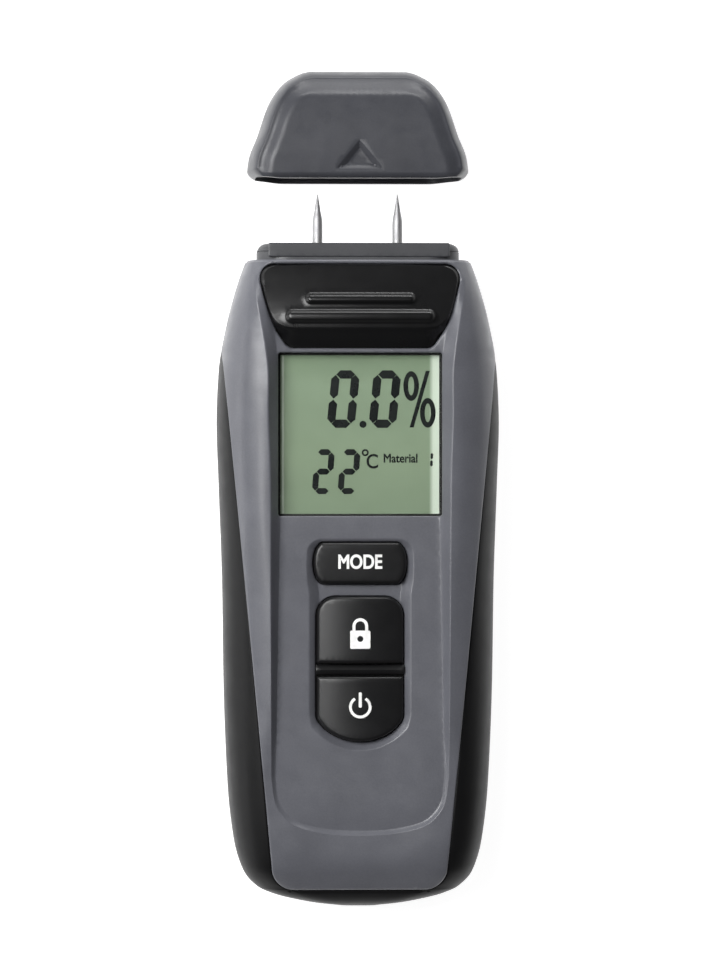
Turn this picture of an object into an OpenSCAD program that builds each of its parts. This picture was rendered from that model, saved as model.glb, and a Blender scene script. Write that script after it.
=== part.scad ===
// Two-pin moisture meter with a slide-off pin cap, lying on its back.
// X is its width, +Y runs from the bottom end to the pins, +Z comes out of its front.
// The origin is on the flat back, under the middle of the case.

/* [Case] */
// Greatest width of the case
case_w = 56.4; // [56:0.1:57.6]
// Wall of the two case shells
wall = 2; // [1.8:0.1:2.2]
// Height of the seam between the shells at the shoulder, which is also the widest line
seam_z = 13.5; // [13.2:0.1:13.8]
// Gap between the two shells along their seam
seam_gap = 0.1; // [0.05:0.05:0.2]
// Thickness of the sunk front panel
panel_t = 1.7; // [1.5:0.1:1.8]
// Depth of the pocket around the keys
pocket_deep = 0.8; // [0.3:0.1:0.8]

/* [Display] */
// Width of the display opening
window_w = 32.4; // [30:0.2:32.6]
// Length of the display opening
window_l = 32.3; // [30:0.1:32.5]
// Distance of the middle of the display from the middle of the case
window_y = 29.6; // [29.2:0.1:29.8]

/* [Keys] */
// Gap around each key in its opening
key_gap = 0.2; // [0.1:0.05:0.3]
// Width of the mode key over its round ends
mode_w = 18.4; // [16:0.2:18.6]
// Length of the mode key
mode_l = 8.1; // [7:0.1:8.3]
// Width of the hold and power keys
pad_w = 17.2; // [15:0.2:17.6]

/* [Electrodes] */
// Distance between the two electrodes
pin_pitch = 16; // [14:0.5:18]
// Diameter of an electrode's shank
pin_d = 2; // [1.6:0.1:2.2]
// Length of an electrode outside the housing
pin_out = 10.1; // [8:0.1:11]
// Length of an electrode's point
tip_l = 4.8; // [3:0.1:5]

/* [Cap] */
// Length of the cap from its mouth to its top
cap_l = 21.8; // [21.8:0.1:23]
// How far the cap is drawn off from its seat on the shoulder
cap_lift = 16.1; // [14:0.1:20]
// Gap between the cap and the housing that it slides on
cap_gap = 0.15; // [0.1:0.05:0.3]

/* [Battery] */
// Width of the 9 V block
battery_w = 26.2; // [25.5:0.1:26.5]
// Thickness of the 9 V block
battery_t = 17.1; // [16.5:0.1:17.2]
// Length of the 9 V block without its terminals
battery_l = 46.4; // [46:0.1:46.6]
// Thickness of the battery door
door_t = 1.7; // [1.5:0.1:1.8]

/* [Hidden] */
$fn = 48;

// Heights of the inner layers, from the back
door_z = 0.15;
battery_z = 2.1;
board_z = 20;
board_t = 1.6;
board_top = board_z + board_t;
mat_t = 0.6;
flange_z = 23.7;
flange_t = 0.7;
lcd_z = 22.75;
lcd_t = 1.7;
gasket_t = 0.3;
window_flange_t = 0.4;
window_top = 26.6;
window_brow_room = 0.4;
brow_floor = 24.6;
brow_roof_under = 22.6;
pin_z = 13;

// Places along the case
shoulder_y = 64.2;
neck_y = 67.7;
neck_half = 20.15;
neck_z0 = 3.8;
neck_z1 = 22.2;
neck_corner = 6;
brow_y0 = 46.7;
brow_y1 = 63.35;
mode_y = 4.15;
mode_end_r = 7.8;
hold_y0 = -15.65;
hold_y1 = -2.5;
power_y0 = -31.1;
power_y1 = -18.25;
pad_end_r = 10.9;
pad_corner_r = 3.8;
hinge_y = -49.9;
hinge_r = 0.8;
hinge_gap = 0.07;
hinge_reach = 1.2;
barrel_r = 1.5;
door_y1 = 4;
bay_y0 = -51.5;
bay_y1 = 4.2;
bay_wall = 1.2;
bay_half = 14;
battery_y = -47.8;

// The case's outline: half-width, front height and back height at rows along its length
half_width_rows = [
  [-64.2, 4], [-63.6, 9], [-62.8, 13.2], [-61.8, 17], [-60.4, 20.1], [-57.4, 22.8],
  [-51.4, 24.7], [-40, 26], [-20, 26.8], [0, 27.1], [20, 27.8], [32, 28.2], [42, 27.8],
  [52, 26.1], [60, 23.9], [64.2, 22.4]
];
front_rows = [
  [-64.2, 17.6], [-63.6, 20], [-62.8, 21.3], [-61.8, 22.2], [-60.4, 23.1], [-56, 25.6],
  [-50, 26.8], [-40, 27.9], [-20, 29.4], [0, 30.4], [20, 31], [36, 31], [46, 30.2],
  [54, 28.8], [60, 27.2], [64.2, 25.6]
];
back_rows = [
  [-64.2, 9.8], [-63.6, 7.6], [-62.8, 5.8], [-61.8, 4.2], [-60.4, 2.6], [-57, 0.8],
  [-53, 0], [54, 0], [60, 0.4], [64.2, 1.6]
];
front_flat_rows = [
  [-64.2, 1], [-61, 9], [-56, 12], [-40, 11], [-20, 9], [20, 8], [40, 9], [52, 13], [60, 15],
  [64.2, 14]
];
back_flat_rows = [[-64.2, 1], [-61, 11], [-56, 16], [-40, 18.5], [0, 19], [40, 19], [64.2, 14]];
case_stations = [
  -64.2, -63.6, -62.8, -61.8, -60.4, -58.4, -56, -52, -46, -38, -28, -16, -4, 8, 20, 30, 38,
  46, 54, 60, 64.2
];
corner_steps = 6;

// Power of the front's section: 2 is an ellipse, and more is fuller
front_full = 3;

// The cap's outline, at distances from its mouth
cap_width_rows = [
  [0, 22.3], [4.2, 21.8], [9, 20], [13.8, 18.4], [16.2, 17.3], [18.6, 15.6], [19.8, 14.3],
  [20.9, 12.4], [21.8, 9.6]
];
cap_rim_rows = [
  [0, 24.4], [4, 24.4], [10, 23.9], [15, 23.1], [18, 22], [19.4, 21], [20.8, 19], [21.8, 16.8]
];
cap_back_rows = [[0, 1.6], [4, 1.6], [10, 2.2], [15, 3.4], [18.6, 5.4], [20.6, 7.6], [21.8, 9.8]];
cap_stations = [0, 2, 4.2, 7, 10, 13.8, 16.2, 17.8, 19.4, 20.2, 21, 21.8];
cap_pad_inset = 2.3;
cap_pad_bevel = 1.3;
cap_pad_h = 1.6;
cap_pad_bevel_y = 16.2;
cap_pad_end_y = 19.4;
cap_arrow_z = 25.3;
cap_y = shoulder_y + 0.1 + cap_lift;

// Screws: [x, y] of each
case_screw_at = [[21, 43], [-21, 43], [11, -56], [-11, -56]];
board_screw_at = [[15.8, -35.5], [-15.8, -35.5], [15.2, 52], [-15.2, 52]];

// Middle lines of the two battery leads, from the snap to the board
lead_red_route = [
  [4, 3.1, 12], [4, 4, 12], [4, 5.2, 13], [4.2, 6.3, 14.6], [5, 7.3, 16.6], [6, 8, 18],
  [6.4, 8.3, 19], [6.4, 8.3, 20]
];
lead_black_route = [for (p = lead_red_route) [-p[0], p[1], p[2]]];
lead_d = 1.2;

// ---- Curves and lofts ----

function secant(rows, i) = (rows[i + 1][1] - rows[i][1]) / (rows[i + 1][0] - rows[i][0]);

// Slope at row i: the harmonic mean of its two neighbours' slopes, so that no curve overshoots
function row_slope(rows, i) =
  i == 0 ? secant(rows, 0)
  : i == len(rows) - 1 ? secant(rows, i - 1)
  : let (a = secant(rows, i - 1), b = secant(rows, i)) a * b <= 0 ? 0 : 2 * a * b / (a + b);

// Smooth curve through the rows [place, value] of a table, read at y
function smooth(rows, y, i = 0) =
  y > rows[i + 1][0] && i < len(rows) - 2 ? smooth(rows, y, i + 1)
  : let (
      h = rows[i + 1][0] - rows[i][0],
      t = (y - rows[i][0]) / h,
      s0 = row_slope(rows, i) * h,
      s1 = row_slope(rows, i + 1) * h
    )
    (2 * t ^ 3 - 3 * t ^ 2 + 1) * rows[i][1] + (t ^ 3 - 2 * t ^ 2 + t) * s0
    + (3 * t ^ 2 - 2 * t ^ 3) * rows[i + 1][1] + (t ^ 3 - t ^ 2) * s1;

function arc(cx, cy, r, a0, a1, steps) =
  [for (i = [0:steps]) let (a = a0 + (a1 - a0) * i / steps) [cx + r * cos(a), cy + r * sin(a)]];

function mirrored(half) = concat(half, [for (i = [len(half) - 1:-1:0]) [-half[i][0], half[i][1]]]);

// A whole ring from its right half, which starts and ends on the middle line
function ring(half, y) = concat(
  [for (p = half) [p[0], y, p[1]]],
  [for (i = [len(half) - 2:-1:1]) [-half[i][0], y, half[i][1]]]
);

// Solid through rings of equal length, which run back, right, front, left
module loft(rings) {
  n = len(rings[0]);
  last = len(rings) - 1;
  polyhedron(
    points = [for (r = rings) each r],
    faces = concat(
      [for (i = [1:n - 2]) [0, i + 1, i]],
      [for (i = [1:n - 2]) [last * n, last * n + i, last * n + i + 1]],
      [for (j = [0:last - 1], i = [0:n - 1]) [j * n + i, j * n + (i + 1) % n, (j + 1) * n + (i + 1) % n]],
      [for (j = [0:last - 1], i = [0:n - 1]) [j * n + i, (j + 1) * n + (i + 1) % n, (j + 1) * n + i]]
    )
  );
}

// Extrudes a shape drawn in [y, z] along X, both ways from the middle
module across(w) {
  rotate([90, 0, 90]) translate([0, 0, -w / 2]) linear_extrude(w) children();
}

module slab(x0, x1, y0, y1, z0, z1) {
  translate([x0, y0, z0]) cube([x1 - x0, y1 - y0, z1 - z0]);
}

// Round tube along a route
module tube(route, d, sides = 8) {
  n = len(route);
  function along(i) = route[min(i + 1, n - 1)] - route[max(i - 1, 0)];
  loft_rings = [
    for (i = [0:n - 1])
      let (t = along(i) / norm(along(i)), s = [1, 0, 0], u = cross(s, t) / norm(cross(s, t)))
      [for (k = [0:sides - 1]) let (a = 360 * k / sides) route[i] + d / 2 * (s * cos(a) + u * sin(a))]
  ];
  loft(loft_rings);
}

// ---- Case ----

function case_half(y, inset) =
  let (
    w = smooth(half_width_rows, y) * case_w / 56.4 - inset,
    z_front = smooth(front_rows, y) - inset,
    z_back = smooth(back_rows, y) + inset,
    flat_f = min(smooth(front_flat_rows, y), w - 0.5),
    flat_b = min(smooth(back_flat_rows, y), w - 0.5)
  )
  concat(
    [[0, z_back]],
    [for (i = [0:corner_steps]) let (a = 90 * i / corner_steps)
      [flat_b + (w - flat_b) * sin(a), seam_z - (seam_z - z_back) * cos(a)]],
    [for (i = [1:corner_steps]) let (a = 90 * i / corner_steps, power = 2 / front_full)
      [flat_f + (w - flat_f) * cos(a) ^ power, seam_z + (z_front - seam_z) * sin(a) ^ power]],
    [[0, z_front]]
  );

// The whole case as one solid, or its inside when inset by the wall
module case_solid(inset = 0) {
  reach = (shoulder_y - inset) / shoulder_y;
  loft([for (y = case_stations) ring(case_half(y, inset), y * reach)]);
}

// Height of the sunk panel, which slopes down towards the bottom end
function panel_z(y) = 26.7 + 0.014 * y;

module below_panel(drop, y0, y1) {
  across(80) polygon([[y0, 0], [y0, panel_z(y0) - drop], [y1, panel_z(y1) - drop], [y1, 0]]);
}

module above_panel(drop, y0, y1) {
  across(80) polygon([[y0, panel_z(y0) - drop], [y0, 50], [y1, 50], [y1, panel_z(y1) - drop]]);
}

// Plan of the front shell: straight flanks that widen towards the top, and a rounded bottom end
module front_plan(grow = 0) {
  lean = 0.0965;
  end_y = -60.7;
  corner = 4.5;
  flank = function(y) 17.75 + lean * (y + 53.4);
  half = concat(
    arc(flank(end_y + corner) - corner, end_y + corner, corner + grow, -90, -atan(lean), 6),
    [[flank(70) + grow, 70]]
  );
  polygon(mirrored(half));
}

module panel_plan() {
  polygon(mirrored([
    [6, -49.5], [12.5, -48], [15.6, -45.6], [17.2, -42.6], [17.6, -38], [17.8, 22], [18.2, 33],
    [19, 41], [19.9, 49], [20.2, 56]
  ]));
}

module pocket_plan() {
  r = 12.2;
  polygon(mirrored(concat(
    arc(0, -33 + r, r, -90, -35, 6),
    [[10.1, -2], [10.5, 0], [10.5, 6]],
    arc(8, 6.4, 2.5, 0, 90, 5)
  )));
}

module brow_plan(grow = 0) {
  polygon(mirrored(concat(
    [
      [13.6, brow_y0 - grow], [14.8 + grow, 47.4], [16.5 + grow, 50], [17.9 + grow, 53.4],
      [19.1 + grow, 57.2]
    ],
    arc(16.95, 60.6, brow_y1 - 60.6 + grow, 0, 90, 5)
  )));
}

// The display's outline; what lies under it has less room on the side of the brow
module window_plan(grow = 0) {
  w = window_w + 2 * grow;
  y0 = window_y - window_l / 2 - grow;
  y1 = window_y + window_l / 2 + min(grow, window_brow_room);
  translate([-w / 2, y0]) square([w, y1 - y0]);
}

function mode_half(grow) =
  let (r = mode_end_r + grow, a = asin((mode_l / 2 + grow) / r))
  arc(mode_w / 2 - mode_end_r, mode_y, r, -a, a, 8);

module mode_plan(grow = 0) {
  polygon(mirrored(mode_half(grow)));
}

// The hold and power keys share one outline: rounded shoulders above, one shallow arc below
module pads_plan(grow = 0) {
  w = pad_w / 2 + grow;
  r = pad_end_r + grow;
  a = acos(w / r);
  polygon(mirrored(concat(
    arc(0, power_y0 + pad_end_r, r, -90, -a, 6),
    arc(pad_w / 2 - pad_corner_r, hold_y1 - pad_corner_r, pad_corner_r + grow, 0, 90, 6)
  )));
}

module neck_section(grow = 0) {
  w = neck_half + grow;
  z0 = neck_z0 - grow;
  z1 = neck_z1 + grow;
  r = neck_corner + grow;
  polygon(mirrored(concat(
    arc(w - r, z0 + r, r, -90, 0, 6),
    arc(w - r, z1 - r, r, 0, 90, 6)
  )));
}

module along_y(y0, y1) {
  translate([0, y1, 0]) rotate([90, 0, 0]) linear_extrude(y1 - y0) children();
}

// Mouth of the case and the groove behind it, which hold the electrode housing by its flange
module neck_socket() {
  along_y(60, 66) neck_section(0.05);
  along_y(59.7, 62.15) neck_section(0.95);
}

module front_bosses() {
  intersection() {
    case_solid(0.6);
    for (p = case_screw_at) translate([p[0], p[1], seam_z + 0.1]) cylinder(r = 3, h = 11);
  }
  for (p = board_screw_at) translate([p[0], p[1], board_top]) cylinder(r = 2.2, h = 3);
}

module front_shell() {
  color("slategray") difference() {
    union() {
      difference() {
        intersection() {
          case_solid();
          translate([0, 0, seam_z]) linear_extrude(30) front_plan();
        }
        intersection() {
          case_solid(wall);
          across(80) polygon([
            [-64, 5], [-64, panel_z(-64) - panel_t], [46.2, panel_z(46.2) - panel_t],
            [46.2, brow_roof_under], [64, brow_roof_under], [64, 5]
          ]);
        }
      }
      front_bosses();
    }
    intersection() {
      above_panel(0, -60, 60);
      translate([0, 0, 20]) linear_extrude(20) panel_plan();
    }
    intersection() {
      above_panel(pocket_deep, -60, 60);
      translate([0, 0, 20]) linear_extrude(20) pocket_plan();
    }
    translate([0, 0, brow_floor]) linear_extrude(10) brow_plan(0.1);
    translate([0, 0, 20]) linear_extrude(20) window_plan();
    translate([0, 0, 20]) linear_extrude(20) mode_plan(key_gap);
    translate([0, 0, 20]) linear_extrude(20) pads_plan(key_gap);
    neck_socket();
    for (p = case_screw_at) translate([p[0], p[1], seam_z - 1]) cylinder(r = 1.3, h = 9);
    for (p = board_screw_at) translate([p[0], p[1], board_top - 1]) cylinder(r = 0.95, h = 3.6);
  }
}

module bay_walls() {
  top = 17.5;
  for (s = [-1, 1])
    slab(min(s * bay_half, s * (bay_half + bay_wall)), max(s * bay_half, s * (bay_half + bay_wall)),
      bay_y0 - bay_wall, bay_y1 + bay_wall, 0.6, top);
  slab(-bay_half - 0.5, bay_half + 0.5, bay_y0 - bay_wall, bay_y0, 0.6, top);
  difference() {
    slab(-bay_half - 0.5, bay_half + 0.5, bay_y1, bay_y1 + bay_wall, 0.6, top);
    slab(-6, 6, bay_y1 - 1, bay_y1 + bay_wall + 1, 11, top + 1);
  }
}

module back_shell() {
  color("dimgray") difference() {
    union() {
      difference() {
        case_solid();
        case_solid(wall);
        translate([0, 0, seam_z]) linear_extrude(30) front_plan(seam_gap);
      }
      bay_walls();
      for (p = case_screw_at) translate([p[0], p[1], 3.4]) cylinder(r = 3.6, h = seam_z - 3.4);
    }
    slab(-bay_half, bay_half, bay_y0, bay_y1, -1, 3);
    translate([0, hinge_y, door_z + barrel_r]) rotate([0, 90, 0])
      cylinder(r = hinge_r + hinge_gap, h = 2 * (bay_half + hinge_reach), center = true);
    translate([0, 7.8, -7.4]) rotate([0, 90, 0]) cylinder(r = 8.4, h = 12, center = true);
    neck_socket();
    for (p = case_screw_at) translate([p[0], p[1], -1]) {
      cylinder(r = 1.6, h = 20);
      cylinder(r = 2.8, h = 5.4);
    }
  }
}

// Black thumb rest above the display: it rises from the shoulder and drops steeply to the display
function brow_side(inset) = [
  [brow_y1 - inset, brow_floor + 0.05], [brow_y1 - inset, 25.9 - inset / 2], [60, 27.3 - inset],
  [55, 28.8 - inset], [52, 29.3 - inset], [50.4, 29.1 - inset], [brow_y0 + inset, 27.2 - inset / 2],
  [brow_y0 + inset, brow_floor + 0.05]
];

module brow_panel() {
  color("black") {
    difference() {
      intersection() {
        across(60) polygon(brow_side(0));
        translate([0, 0, 20]) linear_extrude(20) brow_plan();
      }
      intersection() {
        across(60) polygon(brow_side(1.6));
        translate([0, 0, 20]) linear_extrude(20) brow_plan(-1.8);
      }
    }
    brow_rib(11.1, 56.4, 28.2);
    brow_rib(15.2, 52.6, 28.9);
  }
}

module brow_rib(half, y, z) {
  r = 0.9;
  translate([0, y, z]) {
    rotate([0, 90, 0]) cylinder(r = r, h = 2 * (half - r), center = true);
    for (s = [-1, 1]) translate([s * (half - r), 0, 0]) sphere(r = r);
  }
}

// ---- Electrodes ----

module electrode_housing() {
  color("dimgray") difference() {
    union() {
      along_y(62.1, neck_y) neck_section();
      along_y(59.8, 62.1) neck_section(0.9);
      for (s = [-1, 1]) translate([s * pin_pitch / 2, 62, pin_z]) rotate([90, 0, 0])
        cylinder(r = 4, h = 4.4);
    }
    for (s = [-1, 1]) translate([s * pin_pitch / 2, 70, pin_z]) rotate([90, 0, 0])
      cylinder(r = 2.3, h = 14);
    for (s = [-1, 1]) translate([s * 20.6, 66.2, pin_z]) cube([1.6, 0.6, 14], center = true);
  }
}

module electrode(side) {
  color("silver") translate([side * pin_pitch / 2, neck_y, pin_z]) rotate([-90, 0, 0]) {
    translate([0, 0, -8.4]) cylinder(r = 1.2, h = 8.3);
    translate([0, 0, -0.5]) cylinder(d = pin_d, h = pin_out - tip_l + 0.5);
    translate([0, 0, pin_out - tip_l]) cylinder(d1 = pin_d, d2 = 0.3, h = tip_l);
  }
}

module electrode_sockets() {
  color("goldenrod") for (s = [-1, 1])
    translate([s * pin_pitch / 2, neck_y - 0.3, pin_z]) rotate([90, 0, 0]) difference() {
      union() {
        cylinder(r = 2.28, h = 10);
        translate([0, 0, 9.85]) cylinder(r = 3.1, h = 1.2);
      }
      translate([0, 0, -1]) cylinder(r = 1.23, h = 9.4);
    }
}

// Spring strips that carry the signal from the sockets up to the board
module electrode_contacts() {
  back_y = neck_y - 0.3 - 11.05;
  color("goldenrod") for (s = [-1, 1]) translate([s * pin_pitch / 2, 0, 0]) {
    slab(-1.6, 1.6, back_y - 0.4, back_y, 10.5, board_z);
    slab(-1.6, 1.6, back_y - 5, back_y, board_z - 0.4, board_z);
  }
}

// ---- Display ----

window_z = lcd_z + lcd_t + gasket_t;

module display_window() {
  color("lightsteelblue", 0.4) {
    translate([0, 0, window_z]) linear_extrude(window_flange_t) window_plan(1.2);
    translate([0, 0, window_z]) linear_extrude(window_top - window_z) window_plan(-0.1);
  }
}

module window_gasket() {
  color("black") translate([0, 0, lcd_z + lcd_t]) linear_extrude(gasket_t) difference() {
    window_plan(0.5);
    window_plan(-0.45);
  }
}

module lcd_panel() {
  color("darkseagreen") translate([0, 0, lcd_z]) linear_extrude(lcd_t) window_plan(0.5);
}

module lcd_frame() {
  color("whitesmoke") difference() {
    translate([0, 0, board_top]) linear_extrude(lcd_z + lcd_t - board_top) window_plan(1.6);
    translate([0, 0, lcd_z]) linear_extrude(5) {
      window_plan(0.6);
      translate([0, 1]) window_plan(0.6);
    }
    translate([0, 0, board_top - 1]) linear_extrude(5) window_plan(-0.6);
  }
}

module zebra_strips() {
  color("pink") for (s = [-1, 1])
    translate([0, window_y + s * (window_l / 2 - 1.8), (board_top + lcd_z) / 2])
      cube([28, 2, lcd_z - board_top], center = true);
}

// ---- Board ----

module main_board() {
  color("darkgreen") difference() {
    slab(-17.4, 17.4, -38.5, 55, board_z, board_top);
    for (p = board_screw_at) translate([p[0], p[1], board_z - 1]) cylinder(r = 1.1, h = 4);
  }
}

module control_chip() {
  side = 10;
  color("black") {
    translate([0, 30, board_z - 0.8]) cube([side, side, 1.3], center = true);
    for (a = [0:90:270], i = [-3:3])
      translate([0, 30, 0]) rotate([0, 0, a]) translate([side / 2 + 0.6, i * 1.2, board_z - 0.1])
        cube([1.4, 0.4, 0.2], center = true);
  }
}

module board_components() {
  color("tan") {
    for (i = [0:5]) translate([-12 + 4.6 * i, 19, board_z - 0.3]) cube([2, 1.2, 0.6], center = true);
    for (i = [0:3]) translate([-11, 24 + 4 * i, board_z - 0.35]) cube([1.2, 2, 0.7], center = true);
    translate([11, 27, board_z - 2.5]) cylinder(r = 2.5, h = 2.5);
    translate([11, 35, board_z - 2.5]) cylinder(r = 2.5, h = 2.5);
    translate([11, 46, board_z - 1.6]) rotate([90, 0, 0]) cylinder(r = 1.6, h = 7);
  }
}

// Thermistor bead on two legs, which reads the air temperature
module temperature_sensor() {
  color("saddlebrown") {
    translate([-10, 49, board_z - 3.6]) sphere(r = 1.3);
    for (s = [-1, 1]) translate([-10 + s * 0.7, 49, board_z - 3.4]) cylinder(r = 0.25, h = 3.4);
  }
}

// ---- Keys ----

key_top = 27.5;

module keypad_mat() {
  dome_h = flange_z - 0.05 - board_top - mat_t;
  color("gray") {
    slab(-11.5, 11.5, -37, 10.5, board_top, board_top + mat_t);
    for (y = [mode_y, (hold_y0 + hold_y1) / 2, (power_y0 + power_y1) / 2])
      translate([0, y, board_top + mat_t - 0.1]) cylinder(r1 = 3.6, r2 = 2.4, h = dome_h + 0.1);
  }
}

module key_body(top) {
  translate([0, 0, flange_z]) linear_extrude(top - 0.6 - flange_z) children(0);
  translate([0, 0, flange_z]) linear_extrude(top - flange_z) children(1);
  translate([0, 0, flange_z]) linear_extrude(flange_t) children(2);
}

module mode_key() {
  color("black") key_body(key_top) {
    mode_plan();
    mode_plan(-0.5);
    mode_plan(0.9);
  }
}

module between_y(y0, y1) {
  intersection() {
    children();
    translate([-20, y0]) square([40, y1 - y0]);
  }
}

module hold_key() {
  color("black") key_body(key_top) {
    between_y(hold_y0, hold_y1) pads_plan();
    between_y(hold_y0 + 0.5, hold_y1) pads_plan(-0.5);
    between_y(hold_y0 - 0.8, hold_y1 + 1) pads_plan(0.9);
  }
}

module power_key() {
  color("black") key_body(key_top - 0.2) {
    between_y(power_y0, power_y1) pads_plan();
    between_y(power_y0, power_y1 - 0.5) pads_plan(-0.5);
    between_y(power_y0 - 1, power_y1 + 0.8) pads_plan(0.9);
  }
}

module key_divider() {
  half = pad_w / 2 + key_gap;
  color("black") slab(-half, half, power_y1 + 0.25, hold_y0 - 0.25, flange_z + flange_t + 0.1, 26.4);
}

// ---- Battery ----

module battery() {
  r = 2;
  w = battery_w / 2;
  color("darkslategray") translate([0, 0, battery_z]) along_y(battery_y, battery_y + battery_l)
    polygon(mirrored(concat(arc(w - r, r, r, -90, 0, 4), arc(w - r, battery_t - r, r, 0, 90, 4))));
}

module battery_terminals() {
  color("silver") translate([0, battery_y + battery_l, battery_z + battery_t / 2]) rotate([-90, 0, 0]) {
    translate([6.35, 0, 0]) cylinder(r = 2.8, h = 2);
    translate([-6.35, 0, 0]) cylinder(r = 4, h = 2, $fn = 6);
  }
}

module battery_snap() {
  y = battery_y + battery_l;
  z = battery_z + battery_t / 2;
  color("black") difference() {
    slab(-12.5, 12.5, y + 0.05, y + 4.4, z - 6, z + 6);
    translate([6.35, y + 2.3, z]) rotate([90, 0, 0]) cylinder(r = 2.85, h = 3);
    translate([-6.35, y + 2.3, z]) rotate([90, 0, 0]) cylinder(r = 4.2, h = 3);
  }
}

module battery_lead_red() {
  color("red") tube(lead_red_route, lead_d);
}

module battery_lead_black() {
  color("black") tube(lead_black_route, lead_d);
}

module battery_door() {
  axis_z = door_z + barrel_r;
  half = bay_half - 0.2;
  color("dimgray") difference() {
    union() {
      slab(-half, half, hinge_y, door_y1, door_z, door_z + door_t);
      translate([0, hinge_y, axis_z]) rotate([0, 90, 0]) {
        cylinder(r = barrel_r, h = 2 * half, center = true);
        cylinder(r = hinge_r, h = 2 * (half + hinge_reach), center = true);
      }
      slab(-4.5, 4.5, door_y1 - 1.4, door_y1, door_z, 3.6);
    }
    for (s = [-1, 1]) slab(s * 5.6 - 0.4, s * 5.6 + 0.4, door_y1 - 8, door_y1 + 1, -1, 5);
    for (i = [0:3]) translate([0, door_y1 - 2 - 1.5 * i, door_z - 0.2])
      rotate([0, 90, 0]) cylinder(r = 0.5, h = 8, center = true);
  }
}

// Foam pad inside the door, which keeps the battery from rattling
module door_foam() {
  color("dimgray") slab(-9, 9, -38, -12, door_z + door_t, battery_z - 0.05);
}

// ---- Screws ----

module screw(head_r, head_h, shank_r, length) {
  difference() {
    union() {
      cylinder(r = head_r, h = head_h);
      cylinder(r = shank_r, h = head_h + length);
    }
    for (a = [0, 90]) rotate([0, 0, a]) cube([head_r * 1.2, 0.6, 1.4], center = true);
  }
}

module board_screws() {
  color("silver") for (p = board_screw_at)
    translate([p[0], p[1], board_z - 1.1]) screw(1.8, 1.1, 0.9, 3.8);
}

module case_screws() {
  color("silver") for (p = case_screw_at)
    translate([p[0], p[1], 2.6]) screw(2.6, 1.8, 1.25, 15);
}

// ---- Cap ----

function cap_half(s) =
  let (
    w = smooth(cap_width_rows, s),
    rim = smooth(cap_rim_rows, s),
    back = smooth(cap_back_rows, s),
    pad = w - cap_pad_inset,
    rise = cap_pad_h * max(0, min(1, (cap_pad_end_y - s) / (cap_pad_end_y - cap_pad_bevel_y))),
    flat_b = max(w - 8, 1)
  )
  concat(
    [[0, back]],
    [for (i = [0:corner_steps]) let (a = 90 * i / corner_steps)
      [flat_b + (w - flat_b) * sin(a), pin_z - (pin_z - back) * cos(a)]],
    [for (i = [1:corner_steps]) let (a = 90 * i / corner_steps)
      [pad + 0.2 + (w - pad - 0.2) * cos(a), pin_z + (rim - pin_z) * sin(a)]],
    [[pad, rim], [pad - cap_pad_bevel, rim + rise], [0, rim + rise]]
  );

// Inside of the cap: it fits the housing at the mouth, then narrows over the pins
function cap_inner_half(s) =
  let (
    on_neck = s < 4,
    w = on_neck ? neck_half + cap_gap : smooth(cap_width_rows, s) - 1.7,
    z0 = on_neck ? neck_z0 - cap_gap : smooth(cap_back_rows, s) + 1.8,
    z1 = min(neck_z1 + cap_gap, on_neck ? neck_z1 + cap_gap : smooth(cap_rim_rows, s) - 1.8),
    r = neck_corner + cap_gap
  )
  concat(
    [[0, z0]],
    arc(w - r, z0 + r, r, -90, 0, corner_steps),
    arc(w - r, z1 - r, r, 0, 90, corner_steps),
    [[0, z1]]
  );

module cap_plan() {
  r = 2.6;
  polygon(mirrored(concat(arc(22.3 - r, r, r, -90, 0, 5), [[22.4, 4], [22.4, 30]])));
}

module pin_cap() {
  color("slategray") translate([0, cap_y, 0]) difference() {
    intersection() {
      loft([for (s = cap_stations) ring(cap_half(s), s)]);
      linear_extrude(40) cap_plan();
    }
    loft([for (s = [-1, 3.9, 5, 9, 13, 16, 18]) ring(cap_inner_half(s), s)]);
    cap_arrow();
  }
}

// Sunk triangle that shows which way the cap comes off
module cap_arrow() {
  translate([0, 1.4, cap_arrow_z]) linear_extrude(3) polygon([[-5.2, 0], [5.2, 0], [0, 5.4]]);
}

front_shell();
back_shell();
brow_panel();
electrode_housing();
electrode(-1);  // electrode_left
electrode(1);  // electrode_right
electrode_sockets();
electrode_contacts();
display_window();
window_gasket();
lcd_panel();
lcd_frame();
zebra_strips();
main_board();
control_chip();
board_components();
temperature_sensor();
keypad_mat();
key_divider();
mode_key();
hold_key();
power_key();
battery();
battery_terminals();
battery_snap();
battery_lead_red();
battery_lead_black();
board_screws();
case_screws();
battery_door();
door_foam();
pin_cap();
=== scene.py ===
"""Looks of a two-pin moisture meter that lies on its back with its pin cap drawn off.

Shapes are worked out in millimetres, in the part's own frame, and become metres in make().
"""
import math

import bmesh
import bpy
import numpy as np
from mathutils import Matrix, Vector
from mathutils.geometry import delaunay_2d_cdt


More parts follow.
